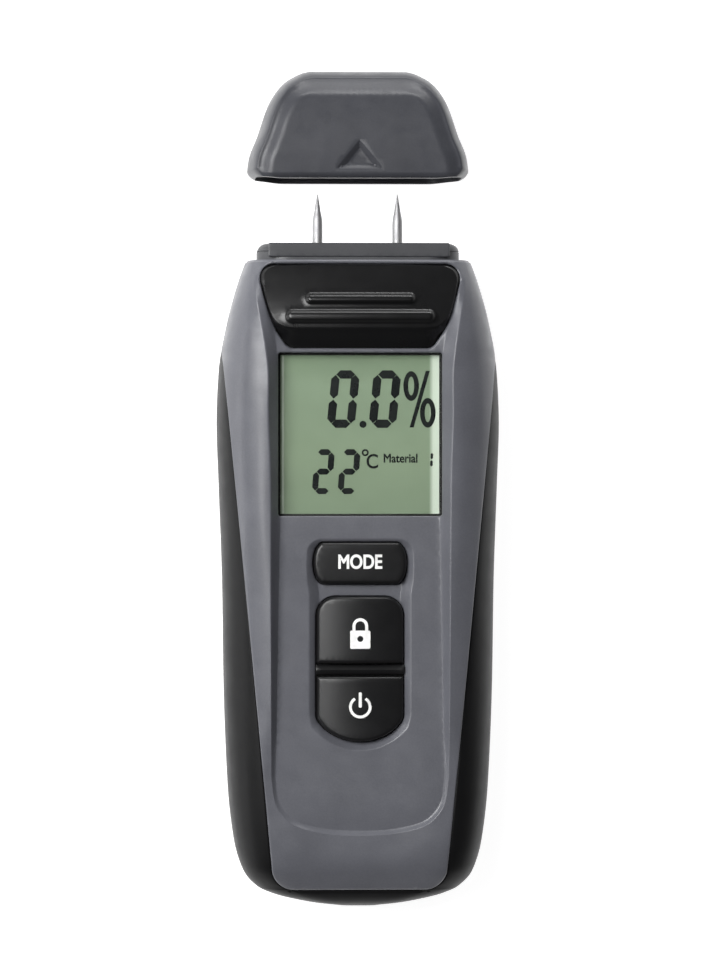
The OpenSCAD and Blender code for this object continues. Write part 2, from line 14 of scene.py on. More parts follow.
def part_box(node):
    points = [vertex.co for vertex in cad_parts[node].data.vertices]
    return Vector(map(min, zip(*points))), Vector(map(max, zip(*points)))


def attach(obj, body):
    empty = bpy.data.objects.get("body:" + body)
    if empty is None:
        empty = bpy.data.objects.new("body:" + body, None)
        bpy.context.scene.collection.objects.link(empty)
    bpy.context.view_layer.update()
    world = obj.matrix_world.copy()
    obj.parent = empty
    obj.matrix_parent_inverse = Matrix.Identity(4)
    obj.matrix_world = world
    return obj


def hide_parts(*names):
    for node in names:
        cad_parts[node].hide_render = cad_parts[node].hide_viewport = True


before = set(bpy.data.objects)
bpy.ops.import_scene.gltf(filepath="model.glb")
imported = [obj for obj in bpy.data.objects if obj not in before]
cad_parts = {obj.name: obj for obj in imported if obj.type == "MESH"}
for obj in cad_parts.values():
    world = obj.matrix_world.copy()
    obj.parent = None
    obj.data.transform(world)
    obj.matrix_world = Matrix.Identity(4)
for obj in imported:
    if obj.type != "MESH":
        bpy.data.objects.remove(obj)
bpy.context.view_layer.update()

MM = 0.001


def box_mm(node):
    """Lowest and highest corner of a CAD node, in millimetres."""
    low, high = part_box(node)
    return np.array(low) / MM, np.array(high) / MM


# ---------------------------------------------------------------- the case's form

# The case's outline as rows of (place along the case, value), from its bottom end to its shoulder
HALF_WIDTH = [
    (-64.2, 4), (-63.6, 9), (-62.8, 13.2), (-61.8, 17), (-60.4, 20.1), (-57.4, 22.8),
    (-51.4, 24.7), (-40, 26), (-20, 26.8), (0, 27.1), (20, 27.8), (32, 28.2), (42, 27.8),
    (52, 26.1), (60, 23.9), (64.2, 22.4),
]
FRONT = [
    (-64.2, 17.6), (-63.6, 20), (-62.8, 21.3), (-61.8, 22.2), (-60.4, 23.1), (-56, 25.6),
    (-50, 26.8), (-40, 27.9), (-20, 29.4), (0, 30.4), (20, 31), (36, 31), (46, 30.2),
    (54, 28.8), (60, 27.2), (64.2, 25.6),
]
BACK = [
    (-64.2, 9.8), (-63.6, 7.6), (-62.8, 5.8), (-61.8, 4.2), (-60.4, 2.6), (-57, 0.8),
    (-53, 0), (54, 0), (60, 0.4), (64.2, 1.6),
]
FRONT_FLAT = [
    (-64.2, 1), (-61, 9), (-56, 12), (-40, 11), (-20, 9), (20, 8), (40, 9), (52, 13), (60, 15), (64.2, 14),
]
BACK_FLAT = [(-64.2, 1), (-61, 11), (-56, 16), (-40, 18.5), (0, 19), (40, 19), (64.2, 14)]
SEAM_Z = 13.5
FRONT_FULL = 3  # power of the front's section: 2 is an ellipse, and more is fuller
CASE_END = -64.2
GREY_END = -60.7
GREY_CORNER = 4.5
GREY_SIDE = (17.75, -53.4)  # a point on the grey shell's straight side, which leans by GREY_LEAN
GREY_LEAN = 0.0965
SHOULDER = 64.2
SHOULDER_R = 0.42
NECK_HALF = 20.15
NECK_LOW = 3.8
NECK_HIGH = 22.2
NECK_CORNER = 6
NECK_END = 67.7
PIN_X = 8
PIN_Z = 13.0

# Where the structured flank meets the freely meshed face, and how wide the face's sloping walls are
FACE_HALF = [
    (-60.7, 11.2), (-58, 14.2), (-54, 15.6), (-48, 16.8), (-40, 18.3), (20, 18.6), (33, 19.1),
    (41, 19.9), (49, 21.2), (56, 21.9), (60, 21.7), (64.2, 20.9),
]
WALL_WIDE = [
    (-50, 1.1), (-42, 0.9), (-30, 1.2), (0, 1.9), (12, 2.2), (24, 2.4), (42, 2.4), (50, 2.6), (58, 1.6),
    (64, 1.2),
]


def smooth(rows, y):
    """Value at y of the smooth curve through rows of (place, value). It never overshoots a row."""
    place, value = np.array(rows, float).T
    step = np.diff(place)
    slope = np.diff(value) / step
    before, after = slope[:-1], slope[1:]
    total = np.where(before + after == 0, 1, before + after)
    inner = np.where(before * after > 0, 2 * before * after / total, 0)
    tangent = np.concatenate([slope[:1], inner, slope[-1:]])
    y = np.asarray(y, float)
    i = np.clip(np.searchsorted(place, y) - 1, 0, len(step) - 1)
    t = (y - place[i]) / step[i]
    rise = (2 * t**3 - 3 * t**2 + 1) * value[i] + (3 * t**2 - 2 * t**3) * value[i + 1]
    return rise + ((t**3 - 2 * t**2 + t) * tangent[i] + (t**3 - t**2) * tangent[i + 1]) * step[i]


def ease(t, lip=0.2):
    """Ramp from 0 to 1 whose two ends are rounded over a share lip of its length."""
    t = np.clip(t, 0, 1)
    steep = 1 / (1 - lip)
    start = t**2 * steep / (2 * lip)
    end = 1 - (1 - t) ** 2 * steep / (2 * lip)
    return np.where(t < lip, start, np.where(t > 1 - lip, end, (t - lip / 2) * steep))


def lower_of(a, b, soft):
    """The lower of two heights, blended where they are within soft of each other."""
    mix = np.clip(0.5 + 0.5 * (b - a) / soft, 0, 1)
    return b * (1 - mix) + a * mix - soft * mix * (1 - mix)


# ---------------------------------------------------------------- plan outlines


def arc(cx, cy, r, start, end, steps=8):
    """Points of a circle's arc between two angles in degrees."""
    angle = np.radians(np.linspace(start, end, steps + 1))
    return np.stack([cx + r * np.cos(angle), cy + r * np.sin(angle)], 1)


def mirrored(half):
    """Closed outline from its right half, which runs anticlockwise from the bottom."""
    half = np.array(half, float)
    return np.concatenate([half, half[::-1] * (-1, 1)])


def resample(loop, step):
    """The closed outline with points about step apart, its corners kept."""
    points = []
    for a, b in zip(loop, np.roll(loop, -1, 0)):
        long = np.linalg.norm(b - a)
        if long > 1e-6:
            count = max(1, round(long / step))
            points += [a + (b - a) * k / count for k in range(count)]
    return np.array(points)


def spline(points, per=6):
    """Smooth open curve through the points."""
    p = np.array(points, float)
    p = np.concatenate([[2 * p[0] - p[1]], p, [2 * p[-1] - p[-2]]])
    out = []
    for i in range(1, len(p) - 2):
        for t in np.arange(per) / per:
            a, b, c, d = p[i - 1], p[i], p[i + 1], p[i + 2]
            out.append(0.5 * (2 * b + (c - a) * t + (2 * a - 5 * b + 4 * c - d) * t**2
                              + (3 * b - a - 3 * c + d) * t**3))
    return np.array(out + [p[-2]])


def normals(loop):
    """Outward normals of an anticlockwise outline, longer at its corners so that its sides move alike."""
    ahead = np.roll(loop, -1, 0) - loop
    behind = loop - np.roll(loop, 1, 0)
    ahead /= np.linalg.norm(ahead, axis=1)[:, None] + 1e-12
    behind /= np.linalg.norm(behind, axis=1)[:, None] + 1e-12
    out = np.stack([ahead[:, 1] + behind[:, 1], -ahead[:, 0] - behind[:, 0]], 1)
    return 2 * out / np.clip((out**2).sum(1)[:, None], 0.7, None)


def grown(loop, by):
    """The outline moved outwards by a distance, which may differ from point to point."""
    return loop + normals(loop) * np.reshape(by, (-1, 1))


def nested(loop, *gaps):
    """The outline moved inwards by each distance."""
    return [grown(loop, -gap) for gap in gaps]


def inside(points, loop):
    """Which points lie inside the closed outline."""
    x, y = points[:, 0][:, None], points[:, 1][:, None]
    ax, ay = loop[:, 0], loop[:, 1]
    bx, by = np.roll(ax, -1), np.roll(ay, -1)
    crosses = (ay > y) != (by > y)
    level = np.where(by == ay, 1, by - ay)
    return (crosses & (x < (bx - ax) * (y - ay) / level + ax)).sum(1) % 2 == 1


def distance(points, loop):
    """Distance from each point to the closed outline."""
    side = np.roll(loop, -1, 0) - loop
    long = np.clip((side**2).sum(1), 1e-12, None)
    best = []
    for some in np.array_split(points, len(points) // 2000 + 1):
        reach = some[:, None] - loop
        t = np.clip((reach * side).sum(2) / long, 0, 1)
        best.append(np.sqrt(((reach - t[..., None] * side) ** 2).sum(2).min(1)))
    return np.concatenate(best)


def within(points, loops):
    """Which points lie inside an odd number of the closed loops."""
    return sum(inside(points, loop).astype(int) for loop in loops) % 2 == 1


def beyond(points, loop):
    """Distance to the outline, 0 inside it."""
    return np.where(inside(points, loop), 0, distance(points, loop))


def signed(points, loop):
    """Distance to the outline, positive inside it."""
    return distance(points, loop) * np.where(inside(points, loop), 1, -1)


# How deep the face lies below the shoulders beside the thumb rest
DIG = [(-70, 1.4), (48, 1.4), (52, 1.5), (55, 1.0), (58, 0.25), (60, 0.08), (66, 0.08)]


def ridge_outline():
    """Where the walls of the sunk face start, seen from the front."""
    corner = spline([(0, -49.8), (6, -49.5), (12, -48.2), (15, -46.2), (16.9, -43), (17.6, -38)])
    flank = spline([(17.6, -38), (17.7, -20), (17.8, 0), (17.9, 20), (18.3, 33), (18.3, 41), (18.8, 46),
                    (19.6, 51), (20.8, 58.5), (20.9, 63)])
    return resample(mirrored(np.concatenate([corner[1:], flank[1:]])), 0.8)


def pocket_outline():
    """Shallow pocket round the keys."""
    low_r = 12.2
    half = [*arc(0, -33.0 + low_r, low_r, -90, -38, 10)[1:], (10.15, -26), (10.15, -2), (10.55, 0.5),
            (10.7, 3.5), *arc(7.7, 6.1, 2.9, 0, 90, 8)]
    return resample(mirrored(half), 0.7)


def rounded_box(x0, x1, y0, y1, r, steps=6):
    """Loop of a box with round corners."""
    return np.concatenate([
        arc(x1 - r, y0 + r, r, -90, 0, steps), arc(x1 - r, y1 - r, r, 0, 90, steps),
        arc(x0 + r, y1 - r, r, 90, 180, steps), arc(x0 + r, y0 + r, r, 180, 270, steps),
    ])


KEY_FLANGE = 0.9


def mode_outline():
    """Barrel-shaped outline of the mode key."""
    low, high = box_mm("mode_key")
    half_w, y0, y1 = high[0] - KEY_FLANGE, low[1] + KEY_FLANGE, high[1] - KEY_FLANGE
    end_r, mid = 7.8, (y0 + y1) / 2
    lift = math.degrees(math.asin((y1 - y0) / 2 / end_r))
    half = arc(half_w - end_r, mid, end_r, -lift, lift, 20)
    soft = 1.3
    half = half[(half[:, 1] > y0 + soft * 0.6) & (half[:, 1] < y1 - soft * 0.6)]
    corner_x = half[0, 0]
    low_bend = spline([(corner_x - 2.2, y0), (corner_x - 0.9, y0 + 0.12), half[0]], 5)
    high_bend = low_bend[::-1] * (1, -1) + (0, 2 * mid)
    return resample(mirrored(np.concatenate([low_bend[:-1], half, high_bend[1:]])), 0.5)


PAD_END_R = 10.9
PAD_CORNER_R = 3.8


def pad_half():
    """Right half of the outline that the hold and power keys share."""
    low, _ = box_mm("power_key")
    _, high = box_mm("hold_key")
    half_w, y0, y1 = high[0] - KEY_FLANGE, low[1] + KEY_FLANGE, high[1] - KEY_FLANGE
    turn = math.degrees(math.acos((half_w - 1.2) / (PAD_END_R - 1.2)))
    return np.concatenate([
        arc(0, y0 + PAD_END_R, PAD_END_R, -90, -turn - 9, 12),
        arc(half_w - 2.4, y0 + PAD_END_R - 5.6, 2.4, -turn - 4, 0, 5),
        arc(half_w - PAD_CORNER_R, y1 - PAD_CORNER_R, PAD_CORNER_R, 0, 90, 10),
    ])


def pads_outline():
    """Whole outline of pad_half, evenly spaced."""
    return resample(mirrored(pad_half()[1:]), 0.5)


def cut_across(half, y0, y1):
    """The part of a right half outline between two heights, closed by straight sides."""
    kept = half[(half[:, 1] > y0) & (half[:, 1] < y1)]
    ends = [[(np.interp(y, half[:, 1], half[:, 0]), y)] if half[0, 1] < y < half[-1, 1] else []
            for y in (y0, y1)]
    return mirrored(np.array([*ends[0], *kept, *ends[1]]))


WINDOW_FLANGE = 1.2


def window_outline():
    """Opening for the window, without the flange that lies under the shell."""
    low, high = box_mm("display_window")
    brow_room = 0.4
    half = high[0] - WINDOW_FLANGE
    return resample(rounded_box(-half, half, low[1] + WINDOW_FLANGE, high[1] - brow_room, 0.5), 0.7)


def brow_outline():
    """Outline of the thumb rest."""
    half = [(13.2, 46.7), (13.9, 46.8), (14.7, 47.4), (16.5, 50), (17.9, 53.4), (19.1, 57.2), (19.7, 59.8),
            *arc(16.85, 60.5, 2.85, 0, 90, 8)]
    return resample(mirrored(half), 0.6)


# ---------------------------------------------------------------- meshes


class Skin:
    """Vertices merged by place, and faces between them, in millimetres."""

    def __init__(self):
        self.points = []
        self.places = {}
        self.faces = []

    def point(self, p):
        key = tuple(round(float(c), 3) for c in p)
        if key not in self.places:
            self.places[key] = len(self.points)
            self.points.append(tuple(float(c) for c in p))
        return self.places[key]

    def face(self, *corners):
        indices = list(dict.fromkeys(self.point(p) for p in corners))
        if len(indices) > 2:
            self.faces.append(indices)

    def grid(self, rows, closed=False):
        for a, b in zip(rows, rows[1:]):
            count = len(a) if closed else len(a) - 1
            for i in range(count):
                j = (i + 1) % len(a)
                self.face(a[i], a[j], b[j], b[i])

    def wall(self, loop, heights, foot):
        """Upright wall from the closed outline at the given heights to its foot."""
        self.grid([[(x, y, z) for (x, y), z in zip(loop, heights)], [(x, y, foot) for x, y in loop]], True)

    def flat(self, loop, z, spacing=3.0):
        """Fills the closed outline at one height."""
        self.plan([loop], [], spacing, lambda p: np.full(len(p), z))

    def block(self, outline, lines, spacing, height, foot, under=3.0):
        """Solid with a relief on top, upright walls and a flat foot."""
        self.plan([outline], lines, spacing, height)
        self.wall(outline, height(outline), foot)
        self.flat(outline, foot, under)

    def plan(self, loops, lines, spacing, height, place=lambda x, y, h: (x, y, h)):
        """Fills what lies inside an odd number of the closed loops. height(points) gives the relief."""
        edges, first = [], 0
        for loop in loops:
            edges += [(first + i, first + (i + 1) % len(loop)) for i in range(len(loop))]
            first += len(loop)
        everything = np.concatenate(loops)
        low, high = everything.min(0), everything.max(0)
        rows = []
        for k, y in enumerate(np.arange(low[1], high[1], spacing * 0.87)):
            x = np.arange(low[0] + (k % 2) * spacing / 2, high[0], spacing)
            rows.append(np.stack([x, np.full(len(x), y)], 1))
        loose = np.concatenate(rows)
        loose = loose[within(loose, loops)]
        lines = [line for line in lines if len(line)]
        for loop in [*loops, *lines]:
            loose = loose[distance(loose, loop) > spacing * 0.42]
        verts = np.concatenate([*loops, *lines, loose])
        made, _, faces, *_ = delaunay_2d_cdt([Vector(v) for v in verts], edges, [], 0, 1e-5)
        flat = np.array([tuple(v) for v in made])
        z = height(flat)
        middles = np.array([flat[list(f)].mean(0) for f in faces])
        for f, kept in zip(faces, within(middles, loops)):
            if kept:
                self.face(*[place(flat[i][0], flat[i][1], z[i]) for i in f])


def make(name, skin, material, body="root", thick=0.0, sharp=35, outward=None):
    """Object from a skin. Its faces look outwards; thick adds a wall on their inside."""
    mesh = bpy.data.meshes.new(name)
    mesh.from_pydata([tuple(c * MM for c in p) for p in skin.points], [], skin.faces)
    work = bmesh.new()
    work.from_mesh(mesh)
    bmesh.ops.recalc_face_normals(work, faces=work.faces)
    if outward is not None:
        total = sum((f.normal * f.calc_area() for f in work.faces), Vector())
        if total.dot(Vector(outward)) < 0:
            bmesh.ops.reverse_faces(work, faces=work.faces)
    work.to_mesh(mesh)
    work.free()
    piece = bpy.data.objects.new(name, mesh)
    bpy.context.scene.collection.objects.link(piece)
    if thick:
        wall = piece.modifiers.new("wall", "SOLIDIFY")
        wall.thickness = thick * MM
        wall.offset = -1
        bake_modifiers(piece)
    piece.data.shade_smooth()
    piece.data.set_sharp_from_angle(angle=math.radians(sharp))
    piece.data.materials.append(material)
    even = piece.modifiers.new("even_shading", "WEIGHTED_NORMAL")
    even.keep_sharp = True
    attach(piece, body)
    return piece


def bake_modifiers(piece):
    """Makes the modified shape the piece's own mesh."""
    evaluated = piece.evaluated_get(bpy.context.evaluated_depsgraph_get())
    mesh = bpy.data.meshes.new_from_object(evaluated)
    piece.modifiers.clear()
    piece.data = mesh


# ---------------------------------------------------------------- materials


class Tree:
    """A tree of shader nodes that grows by calls."""

    def __init__(self, tree):
        self.tree = tree

    def node(self, kind, inputs=None, **settings):
        """New node with some of its settings and of its inputs' values."""
        made = self.tree.nodes.new(kind)
        for key, value in settings.items():
            setattr(made, key, value)
        for key, value in (inputs or {}).items():
            made.inputs[key].default_value = value
        return made

    def link(self, source, target):
        self.tree.links.new(source, target)

    def ramp(self, source, stops):
        """Colour ramp; stops are (place, colour) or (place, value)."""
        ramp = self.node("ShaderNodeValToRGB")
        elements = ramp.color_ramp.elements
        while len(elements) < len(stops):
            elements.new(0.5)
        for element, (place, colour) in zip(elements, stops):
            element.position = place
            colour = (colour,) * 3 if isinstance(colour, (int, float)) else colour
            element.color = (*colour, 1)
        self.link(source, ramp.inputs["Fac"])
        return ramp.outputs["Color"]

    def span(self, source, start, end, low=0.0, high=1.0):
        """Maps the values from start to end to those from low to high."""
        remap = self.node("ShaderNodeMapRange",
                          {"From Min": start, "From Max": end, "To Min": low, "To Max": high})
        self.link(source, remap.inputs["Value"])
        return remap.outputs["Result"]

    def mix(self, factor, a, b, how="MIX"):
        """Mixes two colours; each is a socket or a colour."""
        mixer = self.node("ShaderNodeMix", data_type="RGBA", blend_type=how)
        for value, socket in ((factor, mixer.inputs[0]), (a, mixer.inputs[6]), (b, mixer.inputs[7])):
            if hasattr(value, "links"):
                self.link(value, socket)
            elif isinstance(value, (int, float)):
                socket.default_value = value
            else:
                socket.default_value = (*value, 1)
        return mixer.outputs[2]


class Surface(Tree):
    """A node material: a Principled shader with noise-driven colour, roughness and bump."""

    def __init__(self, name):
        self.material = bpy.data.materials.new(name)
        self.material.use_nodes = True
        super().__init__(self.material.node_tree)
        self.shader = self.tree.nodes["Principled BSDF"]
        self.place = self.node("ShaderNodeTexCoord").outputs["Object"]

    def noise(self, size, detail=3.0, stretch=(1, 1, 1), rough=0.55):
        """Noise whose grain is about size millimetres."""
        mapping = self.node("ShaderNodeMapping", {"Scale": [s / (size * MM) for s in stretch]})
        self.link(self.place, mapping.inputs["Vector"])
        texture = self.node("ShaderNodeTexNoise", {"Scale": 1.0, "Detail": detail, "Roughness": rough})
        self.link(mapping.outputs["Vector"], texture.inputs["Vector"])
        return texture.outputs["Fac"]

    def spread(self, source, low, high):
        """Maps a noise's usual span to a span of values."""
        return self.span(source, 0.3, 0.7, low, high)

    def bump(self, source, height, strength, shader=None):
        """Bump whose relief is height millimetres."""
        bump = self.node("ShaderNodeBump", {"Strength": strength, "Distance": height * MM})
        self.link(source, bump.inputs["Height"])
        self.link(bump.outputs["Normal"], (shader or self.shader).inputs["Normal"])

    def set(self, **values):
        """Gives the shader's inputs values or links."""
        for key, value in values.items():
            socket = self.shader.inputs[key.replace("_", " ")]
            if hasattr(value, "links"):
                self.link(value, socket)
            else:
                socket.default_value = value


def srgb(r, g, b):
    """Linear colour from 0 to 255 values as seen on a screen."""
    return tuple(((c / 255 + 0.055) / 1.055) ** 2.4 if c > 10 else c / 255 / 12.92 for c in (r, g, b))


def shade(colour, times, plus=0.0):
    """The colour made darker or lighter."""
    return tuple(min(1, c * times + plus) for c in colour)


def moulded(name, colour, rough=0.45, grain=0.22, relief=0.012, drift=0.08, specular=0.5, wear=0.25,
            vary=0.065):
    """Moulded plastic with a fine eroded grain, slight mottling and edges rubbed lighter."""
    s = Surface(name)
    base = s.ramp(s.noise(9, 4), [(0.3, shade(colour, 1 - drift)), (0.7, shade(colour, 1 + drift))])
    speckle = s.ramp(s.noise(0.35, 2), [(0.35, shade(colour, 0.7)), (0.65, shade(colour, 1.4))])
    base = s.mix(0.12, base, speckle)
    edges = s.ramp(s.node("ShaderNodeNewGeometry").outputs["Pointiness"], [(0.53, 0.0), (0.6, wear)])
    base = s.mix(edges, base, shade(colour, 1.6, 0.02))
    roughness = s.spread(s.noise(3.5, 4), rough - vary, rough + vary)
    s.set(Base_Color=base, Roughness=roughness, Specular_IOR_Level=specular)
    s.bump(s.noise(grain, 2, rough=0.6), relief, 0.8)
    return s.material


def metal(name, colour, rough=0.25, lines=(1, 1, 1), size=0.1, relief=0.003):
    """Bright metal with fine tool marks along one direction."""
    s = Surface(name)
    marks = s.noise(size, 3, lines)
    tint = s.ramp(marks, [(0.3, shade(colour, 0.82)), (0.7, colour)])
    s.set(Base_Color=tint, Metallic=1.0, Roughness=s.spread(s.noise(1.5, 3), rough - 0.06, rough + 0.1))
    s.bump(marks, relief, 0.6)
    return s.material


def rubber(name, colour, rough=0.7):
    """Dull rubber, foam or print."""
    s = Surface(name)
    base = s.ramp(s.noise(2, 4), [(0.3, shade(colour, 0.85)), (0.7, shade(colour, 1.15))])
    s.set(Base_Color=base, Roughness=s.spread(s.noise(1, 3), rough - 0.08, rough + 0.08))
    s.bump(s.noise(0.15, 2), 0.01, 0.7)
    return s.material


def glossy(name, colour, rough=0.2, drift=0.06):
    """Smooth lacquer, resin or wire cover."""
    s = Surface(name)
    base = s.ramp(s.noise(5, 4), [(0.3, shade(colour, 1 - drift)), (0.7, shade(colour, 1 + drift))])
    s.set(Base_Color=base, Roughness=s.spread(s.noise(4, 4), rough, rough + 0.08))
    s.bump(s.noise(1.5, 2), 0.004, 0.4)
    return s.material


def clear_window():
    """Thin acrylic: it shows what is behind it and mirrors the lights a little."""
    s = Surface("clear_acrylic")
    s.tree.nodes.remove(s.shader)
    see = s.node("ShaderNodeBsdfTransparent", {"Color": (0.97, 0.985, 0.97, 1)})
    mirror = s.node("ShaderNodeBsdfGlossy", {"Roughness": 0.06})
    s.bump(s.noise(6, 2), 0.004, 0.25, mirror)
    edge = s.node("ShaderNodeLayerWeight", {"Blend": 0.5})
    steep = s.node("ShaderNodeMath", {1: 5}, operation="POWER")
    s.link(edge.outputs["Facing"], steep.inputs[0])
    blend = s.node("ShaderNodeMixShader")
    s.link(s.span(steep.outputs["Value"], 0, 1, 0.039), blend.inputs["Fac"])
    s.link(see.outputs["BSDF"], blend.inputs[1])
    s.link(mirror.outputs["BSDF"], blend.inputs[2])
    out = s.tree.nodes["Material Output"]
    s.link(blend.outputs["Shader"], out.inputs["Surface"])
    return s.material


def display_glass():
    """Grey-green liquid crystal glass with a faint painted glow, painted shade towards its top and bottom
    ends, and painted highlights: a thin line near its left edge and a pale strip along its right edge.
    """
    s = Surface("display_glass")
    low, high = box_mm("display_window")
    split = s.node("ShaderNodeSeparateXYZ")
    s.link(s.place, split.inputs["Vector"])
    # Painted shade: the glass is darker towards its top and bottom ends, where the window's recess shades
    # it.
    base = s.ramp(s.span(split.outputs["Y"], low[1] * MM, high[1] * MM), [
        (0.0, srgb(134, 149, 127)), (0.35, srgb(143, 158, 134)),
        (0.8, srgb(145, 161, 138)), (1.0, srgb(126, 143, 118)),
    ])
    # Painted highlights: a thin bright line near the left edge and a pale strip along the right edge, where
    # light catches the window's inner walls.
    left, right = low[0] + WINDOW_FLANGE, high[0] - WINDOW_FLANGE
    strip = s.ramp(s.span(split.outputs["X"], left * MM, right * MM), [
        (0.0, 0.0), (0.02, 0.0), (0.03, 0.8), (0.04, 0.0), (0.925, 0.0), (0.95, 0.8), (1.0, 0.95),
    ])
    base = s.mix(strip, base, srgb(238, 246, 234))
    clouds = s.ramp(s.noise(12, 3), [(0.3, 0.92), (0.7, 1.0)])
    base = s.mix(1.0, base, clouds, "MULTIPLY")
    # Painted glow: a faint emission of the glass's own colour brightens it, though nothing in it gives
    # light.
    s.set(Base_Color=base, Roughness=s.spread(s.noise(3, 3), 0.28, 0.36), Emission_Color=base,
          Emission_Strength=0.04)
    s.bump(s.noise(0.12, 1), 0.002, 0.3)
    return s.material


MATERIALS = {
    "shell_grey": moulded("shell_grey", srgb(89, 90, 96), 0.35, specular=0.45),
    "cap_grey": moulded("cap_grey", srgb(58, 59, 64), 0.36, specular=0.35),
    "shell_black": moulded("shell_black", srgb(14, 14, 15), 0.46, drift=0.06, wear=0.06, specular=0.18,
                           vary=0.03),
    "brow_black": moulded("brow_black", srgb(13, 13, 14), 0.29, relief=0.0015, drift=0.06, wear=0.04,
                          specular=0.4, vary=0.02),
    "housing_grey": moulded("housing_grey", srgb(54, 55, 58), 0.45),
    "key_black": moulded("key_black", srgb(20, 20, 21), 0.33, grain=0.3, relief=0.005, wear=0.04,
                         specular=0.36, vary=0.03),
    "legend_white": rubber("legend_white", srgb(236, 236, 234), 0.5),
    "segment_ink": glossy("segment_ink", srgb(8, 14, 16), 0.24),
    "electrode_steel": metal("electrode_steel", (0.52, 0.52, 0.53), 0.6, (0.15, 1, 0.15), 0.08, 0.001),
    "plated_steel": metal("plated_steel", (0.7, 0.7, 0.68), 0.3),
    "contact_brass": metal("contact_brass", (0.8, 0.62, 0.3), 0.28),
    "gasket_black": rubber("gasket_black", srgb(40, 40, 40)),
    "frame_white": moulded("frame_white", srgb(225, 225, 220), 0.5, wear=0.0),
    "zebra_rubber": rubber("zebra_rubber", srgb(215, 175, 180)),
    "board_green": glossy("board_green", srgb(30, 105, 62), 0.3, 0.15),
    "chip_black": moulded("chip_black", srgb(38, 38, 40), 0.5, wear=0.0),
    "component_tan": glossy("component_tan", srgb(180, 155, 115), 0.35, 0.2),
    "sensor_amber": glossy("sensor_amber", srgb(170, 105, 45), 0.2),
    "mat_silicone": rubber("mat_silicone", srgb(150, 150, 150), 0.6),
    "battery_wrap": moulded("battery_wrap", srgb(40, 56, 66), 0.35, grain=0.6, relief=0.004, wear=0.1),
    "snap_black": moulded("snap_black", srgb(34, 34, 34), 0.4),
    "lead_red": glossy("lead_red", srgb(190, 40, 36), 0.3),
    "lead_black": glossy("lead_black", srgb(32, 32, 32), 0.3),
    "foam_grey": rubber("foam_grey", srgb(92, 92, 95), 0.9),
    "window_clear": clear_window(),
    "lcd_green": display_glass(),
}


# ---------------------------------------------------------------- case shells

GROOVE = 0.28
FLANK_COLUMNS = 14
LOWER_COLUMNS = 12


def section(y):
    """Half-width, front and back heights, and front and back flats of the case at y."""
    w = smooth(HALF_WIDTH, y)
    return (w, smooth(FRONT, y), smooth(BACK, y), np.minimum(smooth(FRONT_FLAT, y), w - 0.5),
            np.minimum(smooth(BACK_FLAT, y), w - 0.5))


def grey_half(y):
    """Half-width of the grey shell in plan, where its seam with the black shell runs."""
    middle = GREY_END + GREY_CORNER
    x = GREY_SIDE[0] + GREY_LEAN * (y - GREY_SIDE[1])
    if y < middle:
        corner_x = GREY_SIDE[0] + GREY_LEAN * (middle - GREY_SIDE[1]) - GREY_CORNER
        drop = min(middle - y, GREY_CORNER)
        x = corner_x + math.sqrt(GREY_CORNER**2 - drop**2)
    if y < GREY_END:
        w_end, w = smooth(HALF_WIDTH, GREY_END), smooth(HALF_WIDTH, y)
        x = x * w / w_end
    return x


def case_front(points):
    """Height of the plain front surface, without the sunk face."""
    x, y = np.abs(points[:, 0]), points[:, 1]
    w, top, _, flat, _ = section(y)
    share = np.clip((x - flat) / (w - flat), 0, 1)
    return SEAM_Z + (top - SEAM_Z) * (1 - share**FRONT_FULL) ** (1 / FRONT_FULL)


def face_z(y):
    """Height of the sunk face's plane."""
    return 26.7 + 0.014 * y


RIDGE = ridge_outline()
POCKET = pocket_outline()
KEY_GAP = 0.2
MODE_HOLE = grown(mode_outline(), KEY_GAP)
PADS_HOLE = grown(pads_outline(), KEY_GAP)
WINDOW_HOLE = window_outline()
BROW = brow_outline()
BROW_HOLE = grown(BROW, 0.1)
HOLES = [MODE_HOLE, PADS_HOLE, WINDOW_HOLE, BROW_HOLE]
HOLE_EDGE = [0.25, 0.25, 0.3, 0.45]
POCKET_DEEP = 1.35
POCKET_WALL = 2.2


def rounding(gap, r):
    """Drop of a surface at a distance gap from an edge rounded to radius r."""
    near = np.clip(1 - gap / r, 0, 1)
    return r * (1 - np.sqrt(1 - near**2 * 0.98))


def front_height(points):
    """Height of the grey shell's front, with its sunk face, its pocket and its rounded edges."""
    x, y = np.abs(points[:, 0]), points[:, 1]
    outer = case_front(points)
    plane = face_z(y)
    plane = lower_of(plane, outer - smooth(DIG, y), 0.3)
    lift = 0.5 * ease((x - 6) / 9, 0.3) + 2.4 * ease((y + 47) / 34, 0.4)
    outer = lower_of(outer, face_z(y) + lift, 0.4)
    depth = signed(points, RIDGE)
    fall = 1 - (1 - np.clip(depth / smooth(WALL_WIDE, y), 0, 1)) ** 1.15
    z = outer + (plane - outer) * ease(fall, 0.14)
    pocket = np.clip(signed(points, POCKET) / POCKET_WALL, 0, 1)
    z = z - POCKET_DEEP * ease(pocket, 0.1)
    for hole, edge in zip(HOLES, HOLE_EDGE):
        z = z - rounding(beyond(points, hole), edge)
    return z - rounding(y - GREY_END, 0.35)


def section_point(y, turn, upper, sink=0.0):
    """Point of the case's section at y. turn is 0 at the seam line and 90 at the flat; sink goes inwards."""
    w, top, bottom, flat_f, flat_b = section(y)
    flat, reach = (flat_f, top - SEAM_Z) if upper else (flat_b, bottom - SEAM_Z)
    power = FRONT_FULL if upper else 2
    a = math.radians(np.clip(turn, 0, 90))
    wide = w - flat
    along, up = abs(math.cos(a)) ** (2 / power), abs(math.sin(a)) ** (2 / power)
    n = np.array([along ** (power - 1) / wide, up ** (power - 1) / reach])
    n /= np.linalg.norm(n)
    return flat + wide * along - n[0] * sink, SEAM_Z + reach * up - n[1] * sink


def turn_at(y, x):
    """Turn at which the upper section at y is x wide."""
    w, _, _, flat, _ = section(y)
    share = float(np.clip((x - flat) / (w - flat), 0, 1))
    return math.degrees(math.acos(share ** (FRONT_FULL / 2)))


